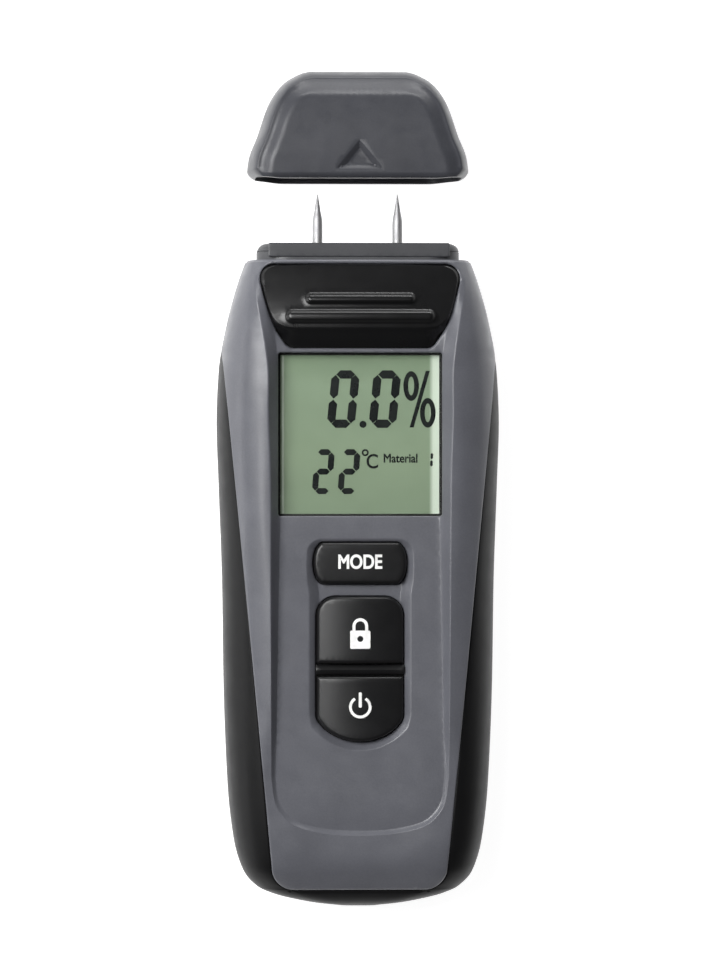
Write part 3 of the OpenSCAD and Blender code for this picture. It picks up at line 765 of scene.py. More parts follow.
def turn_step(y, turn, upper=True):
    """Turn that moves a section point by one millimetre."""
    ahead = np.array(section_point(y, turn + 0.5, upper))
    behind = np.array(section_point(y, turn - 0.5, upper))
    return 1 / max(np.linalg.norm(ahead - behind), 1e-3)


GROOVE_STEPS = [(0.0, GROOVE), (0.05, GROOVE * 0.55), (0.15, GROOVE * 0.2), (0.35, 0.0)]


def grey_flank(y):
    """Row of points from the seam groove to the face's edge, on the right."""
    start = turn_at(y, grey_half(y))
    end = turn_at(y, float(smooth(FACE_HALF, y)))
    step = turn_step(y, max(start, 2))
    turns = [(start + gap * step, sink) for gap, sink in GROOVE_STEPS]
    turns += [(t, 0.0) for t in np.linspace(turns[-1][0], end, FLANK_COLUMNS)[1:]]
    plain = np.array([section_point(y, turn, True) for turn, _ in turns])
    sunk = np.array([section_point(y, turn, True, sink) for turn, sink in turns])
    z = front_height(np.stack([plain[:, 0], np.full(len(turns), y)], 1)) + sunk[:, 1] - plain[:, 1]
    return [(x, y, h) for x, h in zip(sunk[:, 0], z)]


ROW_STARTS = (0.05, 0.12, 0.25, 0.45, 0.8, 1.2, 2.0, 2.5, 3.6, 4.1)


def case_rows(low, high, step=1.6):
    """Places of sections, closer together near the two ends."""
    count = round((high - low) / step)
    rows = list(np.linspace(low, high, count + 1))
    return sorted({round(r, 3) for r in rows} | {round(low + d, 3) for d in ROW_STARTS})


# Steps of the shoulder's rounding, as (inwards, along)
SHOULDER_EDGE = [(0.12, 0.05), (0.3, 0.2), (SHOULDER_R, SHOULDER_R)]


def close_shoulder(skin, run):
    """Rounds the case's top end over and closes it down to the neck. run is the end's run of points."""
    centre = np.array([0, PIN_Z])
    rays = np.array([(x, z) for x, _, z in run]) - centre
    far = np.linalg.norm(rays, axis=1)
    rays /= far[:, None]
    hit = np.array([ray_hit(centre, ray, neck_box(0.05)) for ray in rays])
    rim = far - SHOULDER_R
    steps = [(far - back, SHOULDER - SHOULDER_R + ahead) for back, ahead in SHOULDER_EDGE]
    steps += [(rim + (hit - rim) * share, SHOULDER) for share in (0.3, 1.0)]
    rings = [run]
    for reach, y in steps:
        rings.append([(x, y, z) for x, z in centre + rays * reach[:, None]])
    skin.grid(rings)


def ray_hit(centre, ray, loop):
    """Distance from centre along ray to the closed outline round it."""
    a, b = loop - centre, np.roll(loop, -1, 0) - centre
    side = b - a
    cross = ray[0] * side[:, 1] - ray[1] * side[:, 0]
    cross = np.where(abs(cross) < 1e-12, 1e-12, cross)
    along = (a[:, 0] * side[:, 1] - a[:, 1] * side[:, 0]) / cross
    share = (a[:, 0] * ray[1] - a[:, 1] * ray[0]) / cross
    good = (share >= -1e-9) & (share <= 1 + 1e-9) & (along > 0)
    return along[good].min()


def flipped(row):
    """Row of points mirrored to the other side."""
    return [(-x, y, z) for x, y, z in row]


def face_edge(side, top_x, low_x):
    """Closed outline of a face, from its right side and places along its top and its bottom."""
    top, low = side[-1][1], side[0][1]
    return np.array(side + [(x, top) for x in top_x] + [(-x, y) for x, y in side[::-1]]
                    + [(x, low) for x in low_x])


def grey_shell():
    """Grey front shell: two flanks and a freely meshed face with its openings."""
    skin = Skin()
    ys = case_rows(GREY_END, SHOULDER - SHOULDER_R)
    rows = [grey_flank(y) for y in ys]
    skin.grid(rows)
    skin.grid([flipped(r) for r in rows])
    across = int(2 * rows[-1][-1][0] / 0.9)
    right = [(r[-1][0], r[-1][1]) for r in rows]
    top_x = np.linspace(right[-1][0], -right[-1][0], across + 1)[1:-1]
    low_x = np.linspace(-right[0][0], right[0][0], 25)[1:-1]
    edge = face_edge(right, top_x, low_x)
    wall = smooth(WALL_WIDE, RIDGE[:, 1])
    open_part = RIDGE[:, 1] < 61.5
    lines = [grown(RIDGE, -wall * t)[open_part] for t in (-0.07, 0, 0.07, 0.14, 0.5, 0.86, 1)]
    lines += nested(POCKET, -0.15, 0, 0.12, 0.25, 1.1, 1.95, 2.08, 2.2)
    for hole, r in zip(HOLES, HOLE_EDGE):
        lines += [grown(hole, r * t) for t in (0.12, 0.45, 1.0)]
    lines += [np.array([(x, GREY_END + d) for x in np.arange(-10.5, 11, 0.5)]) for d in (0.12, 0.25, 0.45)]
    lines = [line[inside(line, edge)] for line in lines]
    skin.plan([edge, *HOLES], lines, 1.3, front_height)
    end_y = right[-1][1]
    top_row = [(x, end_y) for x in [right[-1][0], *top_x, -right[-1][0]]]
    heights = front_height(np.array(top_row))
    run = rows[-1][:-1] + [(x, y, z) for (x, y), z in zip(top_row, heights)] + flipped(rows[-1][:-1])[::-1]
    close_shoulder(skin, run)
    shell = make("grey_shell", skin, MATERIALS["shell_grey"], thick=0.8, outward=(0, 0, 1))
    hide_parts("front_shell")


BLACK_STEP = 0.3
BLACK_STEP_WIDE = 9.0
BACK_TURN = 45
BACK_PLAN = (-59.9, 60.0)
BACK_COLUMNS = 24
WELL_R = 2.8
WELL_DEEP = 4.4
CASE_SCREWS = [(21, 43), (-21, 43), (11, -56), (-11, -56)]


def black_flank(y):
    """Row of points from the seam groove down the side to the edge of the back, on the right."""
    seam = turn_at(y, grey_half(y))
    step = turn_step(y, max(seam, 2))
    wide = seam / step
    row = []
    groove = GROOVE * min(max((y - GREY_END) / 0.5 + 1, 0), 1)
    for share, sink in ((0.0, 1), (0.02, 0.5), (0.05, 0), (0.2, 0), (0.4, 0), (0.6, 0), (0.8, 0)):
        gap = share * min(wide, BLACK_STEP_WIDE)
        x, z = section_point(y, seam - gap * step, True, sink * groove + step_down(wide, gap))
        row.append((x, y, z))
    for turn in np.linspace(seam - gap * step, 0, 4)[1:]:
        x, z = section_point(y, turn, True, step_down(wide, (seam - turn) / step))
        row.append((x, y, z))
    for turn in np.linspace(0, BACK_TURN, LOWER_COLUMNS + 1)[1:]:
        x, z = section_point(y, turn, False)
        row.append((x, y, z))
    return row


def step_down(wide, gap):
    """How much lower the black shell lies than the grey one, at a distance gap from their seam."""
    return BLACK_STEP * min(1, wide / 4) * max(0, 1 - gap / max(min(wide, BLACK_STEP_WIDE), 0.01))


def case_back(points):
    """Height of the plain back surface."""
    x, y = np.abs(points[:, 0]), points[:, 1]
    w, _, bottom, _, flat = section(y)
    share = np.clip((x - flat) / (w - flat), 0, 1)
    return SEAM_Z - (SEAM_Z - bottom) * np.sqrt(1 - share**2)


def back_row(y, flank):
    """Row of points across the back, between the two flanks' ends."""
    x0 = flank[-1][0]
    xs = np.linspace(x0, -x0, BACK_COLUMNS + 1)
    heights = case_back(np.array([(x, y) for x in xs]))
    return [(x, y, z) for x, z in zip(xs, heights)]


def bottom_strip(flanks):
    """Rows over the case's bottom end, in front, where the black shell closes round the grey one."""
    strip = []
    for y, flank in flanks.items():
        if y <= GREY_END:
            x0, _, z0 = flank[0]
            xs = np.linspace(x0, -x0, BACK_COLUMNS + 1)
            z = case_front(np.array([(x, y) for x in xs]))
            near = rounding(np.full(len(xs), GREY_END - y), 0.4) * 0.6
            strip.append([(x, y, h + (z0 - z[0]) - n) for x, h, n in zip(xs, z, near)])
    return strip


def scoop_outline(reach):
    """Outline of the finger scoop beside the battery door."""
    return resample(rounded_box(-reach, reach, 4.5, 11.7, 0.3), 0.6)


WELLS = [arc(x, y, WELL_R, 0, 360, 40)[:-1] for x, y in CASE_SCREWS]
BAY = resample(rounded_box(-14, 14, -51.5, 4.2, 0.8), 1.0)
BAY_TOP = 17.5
SCOOP_R = 8.4
SCOOP_MIDDLE = (7.8, -7.4)
SCOOP_HALF = 6.0


def back_height(points):
    """Height of the back with the finger scoop beside the battery door and rounded openings."""
    x, y = points[:, 0], points[:, 1]
    bowl = np.sqrt(np.clip(SCOOP_R**2 - (y - SCOOP_MIDDLE[0]) ** 2, 0, None)) + SCOOP_MIDDLE[1]
    side = ease((SCOOP_HALF + 0.4 - np.abs(x)) / 1.4, 0.3)
    z = case_back(points) + np.clip(bowl, 0, None) * side
    for hole in (BAY, *WELLS):
        z = z + rounding(beyond(points, hole), 0.3)
    return z


def black_shell():
    """Black back shell: flanks, rounded bottom end, and a flat back with the battery bay and wells."""
    skin = Skin()
    top_rows = case_rows(GREY_END, SHOULDER - SHOULDER_R)
    ys = sorted({*case_rows(CASE_END, GREY_END, 0.3), *top_rows, *BACK_PLAN})
    flanks = {y: black_flank(y) for y in ys}
    skin.grid(list(flanks.values()))
    skin.grid([flipped(flank) for flank in flanks.values()])
    strip = bottom_strip(flanks)
    skin.grid(strip)
    skin.grid([back_row(y, flanks[y]) for y in ys if y <= BACK_PLAN[0]])
    skin.grid([back_row(y, flanks[y]) for y in ys if y >= BACK_PLAN[1]])
    first, last = flanks[ys[0]], flanks[ys[-1]]
    tip = first + back_row(ys[0], first)[1:-1] + flipped(first)[::-1] + strip[0][1:-1][::-1]
    close_tip(skin, tip)
    side = [(flanks[y][-1][0], y) for y in ys if BACK_PLAN[0] <= y <= BACK_PLAN[1]]
    low_x = np.linspace(-side[0][0], side[0][0], BACK_COLUMNS + 1)[1:-1]
    top_x = np.linspace(side[-1][0], -side[-1][0], BACK_COLUMNS + 1)[1:-1]
    edge = face_edge(side, top_x, low_x)
    lines = [line for loop in [BAY, *WELLS] for line in nested(loop, -0.05, -0.15, -0.3)]
    lines += [scoop_outline(SCOOP_HALF + 0.4), scoop_outline(SCOOP_HALF - 1)]
    skin.plan([edge, BAY, *WELLS], lines, 1.5, back_height)
    skin.wall(BAY, back_height(BAY), BAY_TOP)
    for (x, y), well in zip(CASE_SCREWS, WELLS):
        rim = [(px, py, z) for (px, py), z in zip(well, back_height(well))]
        foot = [(px, py, WELL_DEEP) for px, py in well]
        bore = [(*p, WELL_DEEP) for p in arc(x, y, 1.6, 0, 360, 40)[:-1]]
        skin.grid([rim, foot, bore, [(px, py, SEAM_Z) for px, py, _ in bore]], True)
    close_shoulder(skin, last + back_row(ys[-1], last)[1:-1] + flipped(last)[::-1])
    shell = make("black_shell", skin, MATERIALS["shell_black"], thick=0.6, outward=(0, 0, -1))
    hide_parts("back_shell")


def close_tip(skin, tip):
    """Closes the case's bottom end with a shallow dome."""
    centre = np.array([0, tip[0][1], 13.2])
    rings = [tip]
    for share, out in ((0.85, 0.03), (0.5, 0.07), (0.01, 0.09)):
        rings.append([tuple(centre + (np.array(p) - centre) * share - (0, out, 0)) for p in tip])
    skin.grid(rings, closed=True)
    skin.faces.append([skin.point(p) for p in rings[-1]])


# ---------------------------------------------------------------- brow, keys and display

BROW_PROFILE = [
    (46.7, 29.2), (50.4, 29.3), (51.4, 29.35), (53, 29.25), (55, 28.85), (57.5, 28.2), (60, 27.45),
    (62, 26.8), (63.4, 26.3),
]
BROW_CROWN = 0.9
RIBS = [(11.1, 56.4, 1.3), (15.0, 52.9, 1.5)]
RIB_RISE = 0.75


def stadium(half, y, r):
    """Outline of a rib."""
    return resample(rounded_box(-half, half, y - r, y + r, r - 0.01, 8), 0.5)


def brow_crest():
    """Rim of the thumb rest's top, from which its sides fall away."""
    side = spline([(11, 50.75), (14.2, 50.8), (15.9, 51.3), (17.3, 52.9), (18.3, 55.6), (18.9, 58.5),
                   (19.1, 60)])
    return resample(mirrored(np.concatenate([side, arc(16.5, 60.3, 2.6, 8, 90, 7)])), 0.5)


CREST = brow_crest()


def brow_height(points):
    """Height of the thumb rest: crowned both ways, with two ribs, and falling away outside its crest."""
    x, y = points[:, 0], points[:, 1]
    z = smooth(BROW_PROFILE, y) - BROW_CROWN * (x / 19) ** 2
    for half, middle, r in RIBS:
        z = z + RIB_RISE * ease(signed(points, stadium(half, middle, r)) / 1.0, 0.3)
    past = beyond(points, CREST)
    share = past / (past + distance(points, BROW) + 1e-9)
    fall = 0.6 + 1.5 * ease((52 - y) / 3, 0.3)
    return z - fall * ease(share, 0.12)


def brow():
    """Black thumb rest over the display."""
    skin = Skin()
    lines = [*nested(BROW, 0.08), *nested(CREST, -0.1, 0, 0.15, 0.5)]
    for half, middle, r in RIBS:
        lines += nested(stadium(half, middle, r), 0, 0.25, 0.5, 0.75, 1)
    low, _ = box_mm("brow_panel")
    skin.block(BROW, lines, 1.0, brow_height, low[2] + 0.05, 4.0)
    piece = make("thumb_rest", skin, MATERIALS["brow_black"])
    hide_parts("brow_panel")


KEY_ROUND = 0.7
KEY_DOME = 1.0


def key_height(outline, top, dome):
    """Height over a key's top: arched across, with a rounded edge."""
    reach = np.abs(outline[:, 0]).max()

    def height(points):
        x = points[:, 0]
        arch = top - dome * (x / reach) ** 2
        return arch - rounding(np.where(inside(points, outline), distance(points, outline), 0), KEY_ROUND)

    return height


def key(node, outline, dome):
    """One key with its flange. Gives back the height of its top, for the legend."""
    low, high = box_mm(node)
    skin = Skin()
    height = key_height(outline, high[2], dome)
    skin.plan([outline], [grown(outline, -KEY_ROUND * t) for t in (0.07, 0.2, 0.4, 0.7, 1)], 1.1, height)
    rim = [(x, y, z) for (x, y), z in zip(outline, height(outline))]
    flange = grown(outline, 0.8)
    steps = ((outline, 0.7), (flange, 0.7), (flange, 0))
    skin.grid([rim] + [[(x, y, low[2] + h) for x, y in loop] for loop, h in steps], True)
    skin.flat(flange, low[2])
    piece = make(node + "_cap", skin, MATERIALS["key_black"], node)
    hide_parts(node)
    return height


def printed(name, loops, height, material, body, lift, thick, spacing):
    """Thin printed mark that follows the surface under it."""
    skin = Skin()
    loops = [resample(np.array(loop), 0.4) for loop in loops]
    skin.plan(loops, [], spacing, lambda p: height(p) + lift + thick)
    piece = make(name, skin, material, body, thick=thick, outward=(0, 0, 1))


def legend(name, loops, height, key_node):
    """White mark on a key."""
    printed(name, loops, height, MATERIALS["legend_white"], key_node, 0.02, 0.03, 0.9)


def text_loops(word, tall, middle, width, bold):
    """Outlines of a word's letters in the plain built-in typeface."""
    curve = bpy.data.curves.new(word, "FONT")
    curve.body = word
    curve.size = 1.0
    curve.resolution_u = 6
    curve.fill_mode = "NONE"
    piece = bpy.data.objects.new(word, curve)
    bpy.context.scene.collection.objects.link(piece)
    mesh = bpy.data.meshes.new_from_object(piece.evaluated_get(bpy.context.evaluated_depsgraph_get()))
    bpy.data.objects.remove(piece)
    loops = chains(mesh)
    bpy.data.meshes.remove(mesh)
    every = np.concatenate(loops)
    low, high = every.min(0), every.max(0)
    scale_y = tall / (high[1] - low[1])
    scale_x = scale_y if width is None else width / (high[0] - low[0])
    centre = (low + high) / 2
    loops = [resample((loop - centre) * (scale_x, scale_y) + middle, 0.3) for loop in loops]
    return bolder(loops, bold)


def bolder(loops, by):
    """Widens the strokes between outlines by moving outer loops out and inner loops in."""
    made = []
    for number, loop in enumerate(loops):
        turned = np.roll(loop, -1, 0)
        if (loop[:, 0] * turned[:, 1] - turned[:, 0] * loop[:, 1]).sum() < 0:
            loop = loop[::-1]
        others = [k for i, k in enumerate(loops) if i != number]
        hole = bool(others) and within(loop[:1], others)[0]
        made.append(grown(loop, -by if hole else by))
    return made


def chains(mesh):
    """Closed loops that a mesh's loose edges make."""
    beside = {}
    for edge in mesh.edges:
        a, b = edge.vertices
        beside.setdefault(a, []).append(b)
        beside.setdefault(b, []).append(a)
    loops, seen = [], set()
    for first in sorted(beside):
        if first in seen:
            continue
        loop, here, before = [], first, None
        while here not in seen:
            seen.add(here)
            loop.append(mesh.vertices[here].co[:2])
            onward = [n for n in beside[here] if n != before and n not in seen]
            before = here
            if onward:
                here = onward[0]
        if len(loop) > 2:
            loops.append(np.array(loop))
    return loops


def band(points, width):
    """Closed outline of a stroke of the given width along an open line."""
    p = np.array(points, float)
    ahead = np.gradient(p, axis=0)
    ahead /= np.linalg.norm(ahead, axis=1)[:, None]
    side = np.stack([-ahead[:, 1], ahead[:, 0]], 1) * width / 2
    return np.concatenate([p - side, (p + side)[::-1]])


def mode_key():
    """Mode key with its word."""
    low, high = box_mm("mode_key")
    top = key("mode_key", mode_outline(), 0.25)
    middle = (0, (low[1] + high[1]) / 2 + 0.3)
    legend("mode_word", text_loops("MODE", 2.7, middle, 8.5, 0.1), top, "mode_key")


def hold_key():
    """Hold key with a padlock."""
    low, high = box_mm("hold_key")
    outline = resample(cut_across(pad_half(), low[1] + 0.8, 100), 0.5)
    top = key("hold_key", outline, KEY_DOME)
    y = high[1] - 9.4
    body = rounded_box(-2.0, 2.0, y - 1.75, y + 1.85, 0.3, 3)
    hole = arc(0, y + 0.2, 0.6, 0, 360, 16)[:-1]
    legend("lock_body", [body, hole], top, "hold_key")
    bow = np.concatenate([[(1.25, y + 1.85)], arc(0, y + 2.75, 1.25, 0, 180, 12), [(-1.25, y + 1.85)]])
    legend("lock_bow", [band(bow, 0.6)], top, "hold_key")


def power_key():
    """Power key with the usual ring and bar."""
    low, high = box_mm("power_key")
    outline = resample(cut_across(pad_half(), -100, high[1] - 0.8), 0.5)
    top = key("power_key", outline, KEY_DOME)
    y = (low[1] + high[1]) / 2 + 0.45
    gap = 32
    ring = band(arc(0, y, 1.95, 90 + gap, 450 - gap, 30), 0.55)
    legend("power_ring", [ring], top, "power_key")
    legend("power_bar", [rounded_box(-0.3, 0.3, y - 0.1, y + 2.9, 0.2, 3)], top, "power_key")


def divider():
    """Bar between the hold and power keys."""
    low, high = box_mm("key_divider")
    loop = resample(rounded_box(low[0], high[0], low[1], high[1], 0.2, 3), 0.6)
    middle = (low[1] + high[1]) / 2

    def height(points):
        roof = high[2] - 0.5 * np.abs(points[:, 1] - middle) ** 1.5
        return roof - rounding(distance(points, loop), 0.2)

    skin = Skin()
    skin.block(loop, nested(loop, 0.1, 0.2), 0.6, height, low[2])
    piece = make("key_bar", skin, MATERIALS["key_black"])
    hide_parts("key_divider")


def window():
    """Clear window with rounded edges."""
    low, high = box_mm("display_window")
    outline = grown(WINDOW_HOLE, -0.12)
    skin = Skin()
    edge = 0.5

    def height(points):
        return high[2] - 0.5 * ease(1 - signed(points, outline) / edge, 0.2)

    skin.block(outline, [grown(outline, -edge * t) for t in (0.2, 0.6, 1)], 3.0, height, low[2])
    piece = make("window_lens", skin, MATERIALS["window_clear"], sharp=25)
    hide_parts("display_window")


SEGMENTS = {"0": "abcdef", "1": "bc", "2": "abged"}


def segment(a, b, width, gap):
    """Outline of one straight display segment with pointed ends."""
    a, b = np.array(a, float), np.array(b, float)
    ahead = (b - a) / np.linalg.norm(b - a)
    side = np.array([-ahead[1], ahead[0]]) * width / 2
    a, b = a + ahead * gap, b - ahead * gap
    tip = ahead * width / 2
    return np.array([a, a + tip - side, b - tip - side, b, b - tip + side, a + tip + side])


def digit(mark, x0, x1, y0, y1, width, lean):
    """Segments of a slanted digit in the box x0..x1, y0..y1."""
    left, right = x0 + width / 2, x1 - lean * (y1 - y0) - width / 2
    low, high, mid = y0 + width / 2, y1 - width / 2, (y0 + y1) / 2
    ends = {
        "a": ((left, high), (right, high)), "b": ((right, mid), (right, high)),
        "c": ((right, low), (right, mid)), "d": ((left, low), (right, low)),
        "e": ((left, low), (left, mid)), "f": ((left, mid), (left, high)), "g": ((left, mid), (right, mid)),
    }
    made = []
    for letter in SEGMENTS[mark]:
        a, b = [(x + lean * (y - y0), y) for x, y in ends[letter]]
        made.append(segment(a, b, width, 0.08))
    return made


def ink_mark(name, loops):
    """Dark mark on the liquid crystal display."""
    _, high = box_mm("lcd_panel")
    printed(name, loops, lambda p: np.full(len(p), high[2]), MATERIALS["segment_ink"], "root",
            0.005, 0.02, 3)


def ink_marks(name, loops):
    """Numbered marks, one for each loop."""
    for number, loop in enumerate(loops):
        ink_mark(f"{name}_{number + 1}", [loop])


def readout():
    """Digits and small signs on the liquid crystal display."""
    ink_marks("reading_tens", digit("0", -6.6, 0.1, 30.9, 42.3, 1.65, 0.1))
    ink_marks("reading_ones", digit("0", 1.7, 8.3, 30.9, 42.3, 1.65, 0.1))
    ink_marks("degrees_tens", digit("2", -9.5, -4.9, 17.8, 26.7, 1.2, 0.07))
    ink_marks("degrees_ones", digit("2", -4.4, 0.2, 17.8, 26.7, 1.2, 0.07))
    ink_marks("group", digit("1", 12.9, 14.6, 22.9, 26.3, 0.5, 0.05))
    ink_marks("percent_bar", [np.array([(9.9, 31), (10.7, 31), (13.9, 42.2), (13.1, 42.2)])])
    oval = arc(0, 0, 1, 0, 360, 32)[:-1]
    for number, centre in enumerate(((10.2, 39.2), (13.5, 33.9))):
        ink_mark(f"percent_ring_{number + 1}", [oval * (1.55, 2.95) + centre, oval * (0.6, 1.85) + centre])
    ink_marks("point", [arc(0.65, 31.6, 0.7, 0, 360, 20)[:-1]])
    ink_mark("degree", text_loops("\u00b0", 1.3, (1.1, 26.0), None, 0.05))
    ink_mark("celsius", text_loops("C", 2.8, (2.5, 24.3), 2.2, 0.05))
    ink_mark("group_word", text_loops("Material", 1.7, (8.1, 24.9), 6.6, 0.05))


# ---------------------------------------------------------------- electrodes and their housing

PLATE_HALF = 18.0
PLATE_Z = (20, 22.45)


def neck_box(grow, steps=6):
    """Section of the neck, grown by a distance."""
    half = NECK_HALF + grow
    return rounded_box(-half, half, NECK_LOW - grow, NECK_HIGH + grow, NECK_CORNER + grow, steps)


def neck_loop(grow=0.0):
    """The neck's section with evenly spaced points."""
    return resample(neck_box(grow, 8), 0.9)


def housing():
    """Insulating block: a rounded neck with a hole round each socket."""
    loop = neck_loop()
    skin = Skin()
    ends = [(SHOULDER - 2, 0.0), (65.95, 0.0), (66.0, -0.22), (66.1, -0.22), (66.15, -0.03), (66.5, -0.1),
            (66.9, -0.3), (67.3, -0.7), (67.6, -1.3), (NECK_END, -1.9)]
    rings = [[(x, y, z) for x, z in grown(loop, g)] for y, g in ends]
    skin.grid(rings, closed=True)
    face = grown(loop, -1.9)
    sockets = [arc(side * PIN_X, PIN_Z, 2.3, 0, 360, 32)[:-1] for side in (-1, 1)]
    skin.plan([face, *sockets], [], 1.6, lambda p: np.full(len(p), NECK_END), lambda x, z, y: (x, y, z))
    for hole in sockets:
        skin.grid([[(x, NECK_END, z) for x, z in hole], [(x, NECK_END - 4, z) for x, z in hole]], True)
    block = make("electrode_block", skin, MATERIALS["housing_grey"], thick=1.2, outward=(0, 1, 0))
    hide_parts("electrode_housing")


def neck_plate():
    """Plate raised on the neck's front."""
    plate = Skin()
    outline = resample(rounded_box(-PLATE_HALF, PLATE_HALF, 64.85, NECK_END - 0.05, 0.35, 4), 0.8)

    def height(points):
        return PLATE_Z[1] - rounding(distance(points, outline), 0.25)

    plate.block(outline, nested(outline, 0.03, 0.1, 0.25), 1.2, height, PLATE_Z[0])
    piece = make("neck_plate", plate, MATERIALS["housing_grey"])


# Radius of an electrode at places along it
PIN_PROFILE = [
    (57.6, 0.0), (57.6, 1.0), (57.8, 1.15), (67.2, 1.15), (67.4, 1.0), (71.6, 1.0), (72.2, 0.98),
    (73.0, 0.88), (73.5, 0.8), (73.75, 0.72), (74.4, 0.6), (75.5, 0.43), (76.6, 0.24), (77.4, 0.1),
    (77.75, 0.04), (77.8, 0.0),
]


def electrode(node, side):
    """Turned steel pin with a long point."""
    skin = Skin()
    rings = []
    for y, r in PIN_PROFILE:
        rings.append([(x, y, z) for x, z in arc(side * PIN_X, PIN_Z, r, 0, 360, 32)[:-1]])
    skin.grid(rings, closed=True)
    piece = make(node + "_pin", skin, MATERIALS["electrode_steel"], sharp=50)
    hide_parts(node)


# ---------------------------------------------------------------- cap

# Half-width and front and back heights of the cap, as rows of (distance from its mouth, value)
CAP_LONG = 21.8
CAP_MOUTH_HALF = 22.3
CAP_TOP_HALF = 9.6
CAP_WIDTH = [
    (0, CAP_MOUTH_HALF), (4.2, 21.8), (9, 20), (13.8, 18.4), (16.2, 17.3), (18.6, 15.6), (19.8, 14.3),
    (20.9, 12.4), (21.5, 11), (CAP_LONG, CAP_TOP_HALF),
]
CAP_RIM = [(0, 24.4), (4, 24.4), (10, 23.9), (15, 23.1), (18, 22), (19.4, 21), (20.8, 19), (CAP_LONG, 16.8)]
CAP_BACK = [(0, 1.6), (4, 1.6), (10, 2.2), (15, 3.4), (18.6, 5.4), (20.6, 7.6), (CAP_LONG, 9.8)]
CAP_CORNER = 2.6
CAP_BACK_CORNER = 6.8
CAP_FLANK = 1.9
# The raised pad's bevel lies between these distances from the outline
CAP_VALLEY = 2.3
CAP_BEVEL = 4.9
CAP_RISE = 0.95
CAP_EDGE = 1.2  # rounding of the mouth's front edge
MOUTH_LIFT = 0.27
# Steps of the cavity, as (distance from the mouth, share of its width, share of its height)
CAP_CAVITY = [
    (5.4, 1.0, 1.0), (6.0, 0.95, 0.97), (9, 0.875, 0.94), (13, 0.79, 0.89), (16, 0.69, 0.79),
    (17.6, 0.57, 0.61), (18.2, 0.4, 0.4), (18.3, 0.01, 0.01),
]


def cap_half(s):
    """Half-width of the cap in plan at a distance s from its mouth."""
    x = float(smooth(CAP_WIDTH, s))
    if s < CAP_CORNER:
        x = min(x, CAP_MOUTH_HALF - CAP_CORNER + math.sqrt(CAP_CORNER**2 - (CAP_CORNER - s) ** 2))
    return x


def mouth_lift(x):
    """How far the mouth's end draws back towards its sides, where the round corners leave no wall."""
    return MOUTH_LIFT * ease((np.abs(x) - 15) / 3.9)


def cap_stations():
    """Distances from the mouth at which the cap's rows lie."""
    start = math.acos(1 - MOUTH_LIFT / CAP_CORNER)
    low = CAP_CORNER * (1 - np.cos(np.linspace(start, math.pi / 2, 9)))
    return [*low, *np.linspace(CAP_CORNER, 18.6, 17)[1:], 19.2, 19.8, 20.3, 20.8, 21.2, 21.5, 21.7, CAP_LONG]


def over_the_top(right):
    """Open outline from its right side, over the cap's top, to its left side."""
    top = [(x, CAP_LONG) for x in np.linspace(CAP_TOP_HALF, -CAP_TOP_HALF, 17)[1:-1]]
    return np.array(right + top + [(-x, s) for x, s in right[::-1]])


def cap_line():
    """Open outline from the mouth's right end over the top to its left end."""
    return over_the_top([(cap_half(s), s) for s in cap_stations()])


def cap_inner_line(by):
    """The outline's sides and top without the round mouth corners, moved inwards."""
    line = over_the_top([(float(smooth(CAP_WIDTH, s)), s) for s in (0, CAP_CORNER, *cap_stations()[9:])])
    far_below = -30
    loop = np.concatenate([line, [(-22.4, far_below), (22.4, far_below)]])
    return grown(loop, -by)


ARROW = np.array([(-5.0, 1.6), (5.0, 1.6), (0, 7.7)])
ARROW_SLOPE = 1.2
ARROW_DEEP = 0.75
CAP_TURNS = [0, 1, 3, 7, 13, 20, 30, 40, 49, 57, 65, 73, 80, 85, 90]


def cap_height(points):
    """Height over the cap's front: rim, raised pad with its bevel, and the sunk arrow."""
    s = np.clip(points[:, 1], 0, CAP_LONG)
    deep = signed(points, cap_inner_line(0))
    rim = smooth(CAP_RIM, s)
    pad_end = 1 - ease((s - 16.2) / 3.6, 0.2)
    rise = CAP_RISE * ease((deep - CAP_VALLEY) / (CAP_BEVEL - CAP_VALLEY), 0.3)
    z = rim + rise * pad_end
    z = z - ARROW_DEEP * ease(signed(points, resample(ARROW, 0.5)) / ARROW_SLOPE, 0.08)
    return z - rounding(s, CAP_EDGE)


def cap_turned(line, outward, turn):
    """The outline's row of points after a turn of the flank, from 0 at the widest line to 90 in front."""
    a = math.radians(turn)
    out = abs(math.cos(a)) ** 1.25
    up = math.sin(a) ** 0.9
    plan = line - outward * CAP_FLANK * (1 - out)
    roof = cap_height(line - outward * CAP_FLANK)
    return [(x, y, PIN_Z + (z - PIN_Z) * up) for (x, y), z in zip(plan, roof)]


def cap_normals(line):
    """Outward directions along the outline, square to the case's length at the mouth."""
    n = normals(np.concatenate([line, [(-15, -0.1), (15, -0.1)]]))[:len(line)]
    blend = ease(line[:, 1] / CAP_CORNER, 0.3)[:, None]
    n = n * blend + np.sign(line[:, :1]) * (1, 0) * (1 - blend)
    return n / np.linalg.norm(n, axis=1)[:, None]


def shifted(row, y):
    """Row of points moved along the case."""
    return [(p[0], p[1] + y, p[2]) for p in row]


